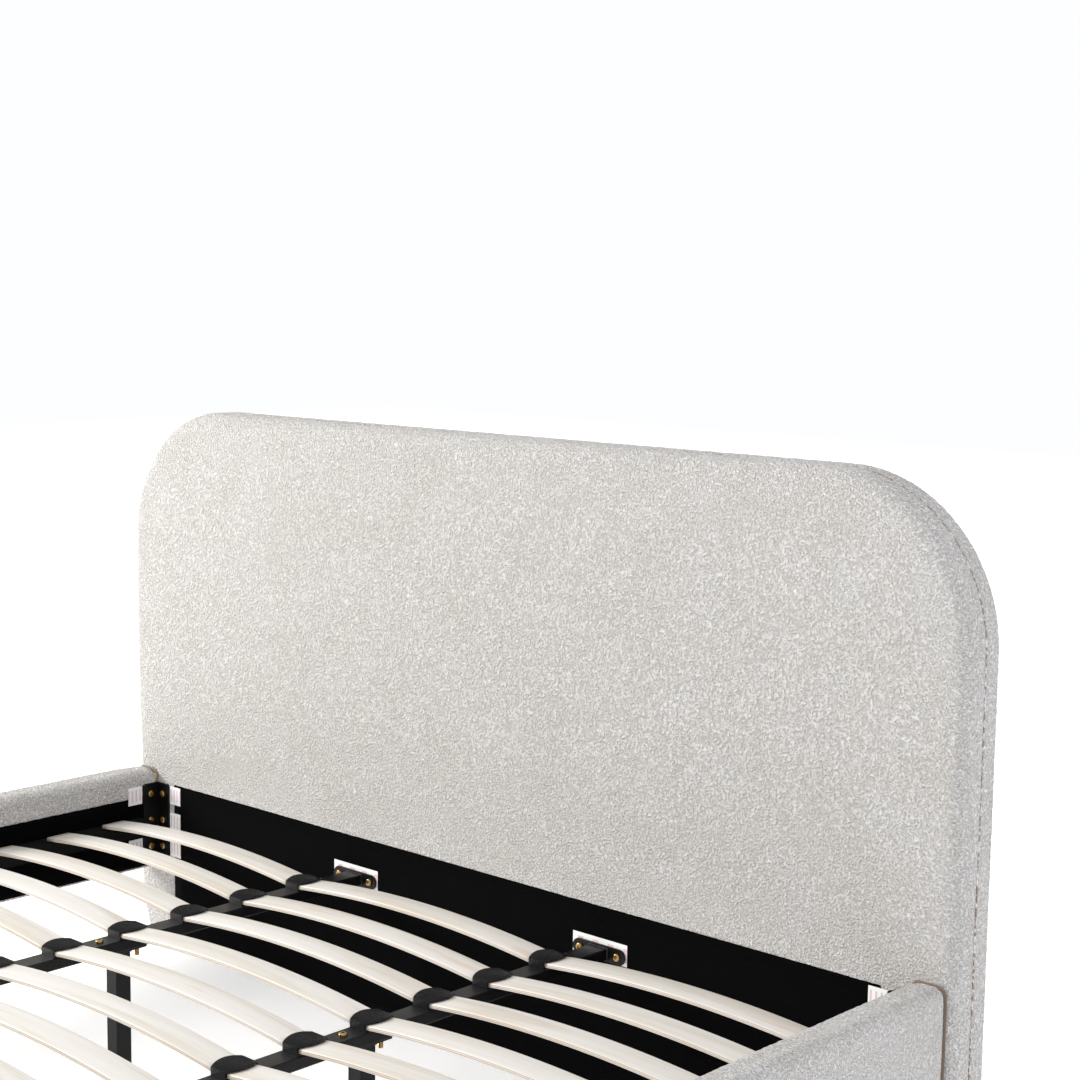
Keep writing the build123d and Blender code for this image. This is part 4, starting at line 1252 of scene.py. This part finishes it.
class BED_OT_feet(bpy.types.Operator):
    """Make the screw feet under the legs"""

    bl_idname = "bed.feet"
    bl_label = "Screw feet"

    def execute(self, context):
        prepare_materials(context.scene)
        for node in sorted(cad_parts):
            if not node.startswith("levelling_foot"):
                continue
            low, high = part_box(node)
            bm = bmesh.new()
            pad = disc(bm, 0.018, 0.0, 0.007, 40)
            round_over(bm, rim_edges(pad, 0.007), 0.002, 3)
            sole = [f for f in bm.faces if f.normal.z < -0.9]
            bmesh.ops.inset_region(bm, faces=sole, thickness=0.002, depth=-0.0004)
            nut = disc(bm, 0.0085, 0.007, 0.011, 6)
            round_over(bm, rim_edges(nut, 0.011), 0.0006, 2)
            for face in bm.faces:
                face.material_index = 1 if face.calc_center_median().z > 0.0071 else 0
            rod = bmesh.new()
            threaded_rod(rod, 0.0105, high.z - THREAD_PITCH, 0.0040, 0.0035)
            tip = disc(rod, 0.0034, high.z - 2 * THREAD_PITCH, high.z, 16)
            round_over(rod, rim_edges(tip, high.z), 0.0006, 1)
            for face in rod.faces:
                face.material_index = 1
            stem = mesh_from(rod, "stem")
            stamp(bm, stem, Matrix.Identity(4))
            centre = Vector(((low.x + high.x) / 2, (low.y + high.y) / 2, 0))
            bmesh.ops.translate(bm, vec=centre, verts=bm.verts)
            name = node.replace("levelling_foot", "screw_foot")
            piece = piece_from(mesh_from(bm, name, sharp=35), name,
                               [MATERIALS["plastic"], MATERIALS["zinc"]], node)
            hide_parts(node)
        return {"FINISHED"}


def bead_prototype(radius):
    """One lump of weld, a few dozen faces."""
    bm = bmesh.new()
    bmesh.ops.create_uvsphere(bm, u_segments=8, v_segments=5, radius=radius)
    return mesh_from(bm, "weld_lump")


def round_rectangle(width, depth, step):
    """Even places round a rectangle, for weld lumps."""
    for sign in (-1, 1):
        for index in range(round(width / step) + 1):
            yield -width / 2 + index * width / round(width / step), sign * depth / 2
        for index in range(1, round(depth / step)):
            yield sign * width / 2, -depth / 2 + index * depth / round(depth / step)


class BED_OT_welds(bpy.types.Operator):
    """Make the weld beads on the beams and legs, and the threads under the leg bolts"""

    bl_idname = "bed.welds"
    bl_label = "Welds and bolt threads"

    def execute(self, context):
        prepare_materials(context.scene)
        lump = bead_prototype(0.0017)
        legs = [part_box(name) for name in sorted(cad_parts) if name.startswith("support_leg")]
        bm = bmesh.new()
        for sign in (-1, 1):
            for y in (HEAD_FACE - 0.0042, FOOT_FACE + 0.0042):
                for index, (across, up) in enumerate(round_rectangle(0.040, 0.020, 0.0022)):
                    grow = 1 + 0.25 * noise.noise(Vector((index * 0.7, y, sign)))
                    place = Matrix.Translation((sign * BEAM_X + across, y, 0.264 + up))
                    stamp(bm, lump, place @ Matrix.Scale(grow, 4))
        for low, high in legs:
            centre = (low + high) / 2
            for index, (across, back) in enumerate(round_rectangle(0.030, 0.030, 0.0022)):
                grow = 1 + 0.25 * noise.noise(Vector((index * 0.7, centre.x, centre.y)))
                place = Matrix.Translation((centre.x + across, centre.y + back, high.z - 0.0034))
                stamp(bm, lump, place @ Matrix.Scale(grow, 4))
        piece_from(mesh_from(bm, "weld_beads"), "weld_beads", [MATERIALS["weld"]])
        rod = bmesh.new()
        threaded_rod(rod, 0.2342, 0.2502, 0.0043, 0.0039)
        thread = mesh_from(rod, "bolt_thread", sharp=30)
        bm = bmesh.new()
        for low, high in legs:
            for step in (-0.0385, 0.0385):
                place = Matrix.Translation(((low.x + high.x) / 2, (low.y + high.y) / 2 + step, 0))
                stamp(bm, thread, place)
        piece_from(mesh_from(bm, "leg_bolt_threads", sharp=30), "leg_bolt_threads",
                   [MATERIALS["zinc"]])
        return {"FINISHED"}


def label_prototype(width, height):
    """A paper label that faces -Y, with its chart across the paper."""
    bm = bmesh.new()
    bmesh.ops.create_grid(bm, x_segments=6, y_segments=6, size=0.5, calc_uvs=True)
    chart = bm.loops.layers.uv.verify()
    for face in bm.faces:
        for loop in face.loops:
            loop[chart].uv = (loop.vert.co.x + 0.5, loop.vert.co.y + 0.5)
    bmesh.ops.rotate(bm, matrix=Matrix.Rotation(math.pi / 2, 3, "X"), verts=bm.verts)
    bmesh.ops.scale(bm, vec=(width, 1, height), verts=bm.verts)
    bmesh.ops.solidify(bm, geom=bm.faces[:], thickness=LABEL_PAPER)
    return mesh_from(bm, "label", sharp=40)


class BED_OT_labels(bpy.types.Operator):
    """Make the plain paper labels beside the brackets and behind the beam plates"""

    bl_idname = "bed.labels"
    bl_label = "Paper labels"

    def execute(self, context):
        prepare_materials(context.scene)
        small = label_prototype(0.035, 0.038)
        wide = label_prototype(0.122, 0.038)
        bm = bmesh.new()
        inner = RAIL_LOW.x
        for face_y, turn in ((HEAD_FACE - 0.0003, 0.0), (FOOT_FACE + 0.0003, math.pi)):
            facing = Matrix.Rotation(turn, 4, "Z")
            inward = -1 if turn == 0 else 1
            for sign in (-1, 1):
                for z in (0.2085, 0.2645, 0.3205):
                    place = Matrix.Translation((sign * (inner - 0.0585), face_y, z))
                    stamp(bm, small, place @ facing)
                    if z != 0.2645:
                        y = face_y + inward * 0.0585
                        place = Matrix.Translation((sign * (inner - 0.0003), y, z))
                        stamp(bm, small, place @ Matrix.Rotation(sign * math.pi / 2, 4, "Z"))
                place = Matrix.Translation((sign * BEAM_X, face_y + 0.0002 * -inward, 0.269))
                stamp(bm, wide, place @ facing)
        piece = piece_from(mesh_from(bm, "paper_labels", sharp=40), "paper_labels",
                           [MATERIALS["paper"]])
        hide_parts("plain_labels")
        return {"FINISHED"}


FRAME_FINISHES = {
    "headboard_panel": "pine", "headboard_lower_board": "pine", "headboard_frame": "pine",
    "footboard_timber": "pine", "rail_timber": "pine", "slat_ledger": "stained",
    "support_beam": "coat", "corner_bracket": "coat", "support_leg": "coat",
    "frame_bolts": "zinc", "tee_nuts": "zinc", "leg_bolts": "zinc",
    "leg_plugs": "plastic", "floor_glides": "plastic",
}


class BED_OT_frame_finishes(bpy.types.Operator):
    """Give the frame's timber, steel and plastic parts their finish"""

    bl_idname = "bed.frame_finishes"
    bl_label = "Frame finishes"

    def execute(self, context):
        prepare_materials(context.scene)
        for name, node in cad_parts.items():
            for start, finish in FRAME_FINISHES.items():
                if name.startswith(start):
                    node.data.materials.clear()
                    node.data.materials.append(MATERIALS[finish])
        return {"FINISHED"}


# ---------------------------------------------------------------- stage

class BED_OT_studio(bpy.types.Operator):
    """Make the plain floor, the soft lights and the camera"""

    bl_idname = "bed.studio"
    bl_label = "Studio"

    def execute(self, context):
        studio = context.scene.bed_studio
        bm = bmesh.new()
        bmesh.ops.create_grid(bm, x_segments=2, y_segments=2, size=14.0)
        mesh = mesh_from(bm, "studio_floor")
        floor = bpy.data.objects.new("studio_floor", mesh)
        context.scene.collection.objects.link(floor)
        material, tree, shader, place = new_material(
            "paper_backdrop_matt", Roughness=0.9, Emission_Color=linear("#FFFFFF"),
            Emission_Strength=studio.floor_glow)
        fleck = add(tree, "ShaderNodeTexNoise", None, {"Vector": place, "Scale": 3.0})
        paler = tuple(min(1.0, 1.02 * c) for c in studio.floor[:3]) + (1.0,)
        tint = add(tree, "ShaderNodeValToRGB", {"stops": [(0.4, tuple(studio.floor)), (0.6, paler)]},
                   {0: fleck.outputs[0]})
        tree.links.new(tint.outputs[0], shader.inputs["Base Color"])
        mesh.materials.append(material)

        world = bpy.data.worlds.new("studio_surround")
        context.scene.world = world
        world.use_nodes = True
        backdrop = world.node_tree.nodes["Background"]
        backdrop.inputs["Color"].default_value = linear("#FDFEFF")
        backdrop.inputs["Strength"].default_value = studio.sky
        self.light("key_light", (-4.0, -2.0, 2.3), (0.0, 0.9, 0.5), 1.6, studio.key, "#FFFBF5")
        self.light("rim_light", (4.5, -0.5, 2.2), (0.9, 0.4, 0.3), 2.0, studio.rim, "#E4DEFF")

        lens = bpy.data.cameras.new("view_camera")
        lens.lens = 68.28
        lens.sensor_width = 36.0
        camera = bpy.data.objects.new("view_camera", lens)
        camera.location = (2.5104, -1.5526, 1.3992)
        camera.rotation_euler = [math.radians(a) for a in (82.776, -0.755, 42.590)]
        context.scene.collection.objects.link(camera)
        context.scene.camera = camera
        context.scene.view_settings.view_transform = "Standard"
        return {"FINISHED"}

    def light(self, name, place, target, size, power, colour):
        """A big soft light that looks at a point."""
        lamp = bpy.data.lights.new(name, "AREA")
        lamp.shape = "SQUARE"
        lamp.size = size
        lamp.energy = power
        lamp.color = linear(colour)[:3]
        holder = bpy.data.objects.new(name, lamp)
        holder.location = place
        aim = Vector(target) - Vector(place)
        holder.rotation_euler = aim.to_track_quat("-Z", "Y").to_euler()
        bpy.context.scene.collection.objects.link(holder)


# ---------------------------------------------------------------- panel and main

OPERATORS = [BED_OT_headboard, BED_OT_edge_strip, BED_OT_footboard, BED_OT_rails, BED_OT_linings,
             BED_OT_slats, BED_OT_slat_caps, BED_OT_feet, BED_OT_welds, BED_OT_labels,
             BED_OT_frame_finishes, BED_OT_studio]
SETTINGS = {"bed_upholstery": UpholsterySettings, "bed_timber": TimberSettings,
            "bed_fittings": FittingSettings, "bed_studio": StudioSettings}


class BED_PT_sidebar(bpy.types.Panel):
    """Lists the bed's pieces and settings"""

    bl_label = "Upholstered bed"
    bl_idname = "BED_PT_sidebar"
    bl_space_type = "VIEW_3D"
    bl_region_type = "UI"
    bl_category = "Bed"

    def draw(self, context):
        for operator in OPERATORS:
            self.layout.operator(operator.bl_idname)
        for name, kind in SETTINGS.items():
            box = self.layout.box()
            for field in kind.__annotations__:
                box.prop(getattr(context.scene, name), field)


def register():
    for kind in [*SETTINGS.values(), *OPERATORS, BED_PT_sidebar]:
        bpy.utils.register_class(kind)
    for name, kind in SETTINGS.items():
        setattr(bpy.types.Scene, name, bpy.props.PointerProperty(type=kind))


def unregister():
    for name in SETTINGS:
        delattr(bpy.types.Scene, name)
    for kind in [BED_PT_sidebar, *OPERATORS, *SETTINGS.values()]:
        bpy.utils.unregister_class(kind)


def main():
    """Makes the whole bed and its studio."""
    register()
    for operator in OPERATORS:
        group, name = operator.bl_idname.split(".")
        getattr(getattr(bpy.ops, group), name)()


if __name__ == "__main__":
    main()
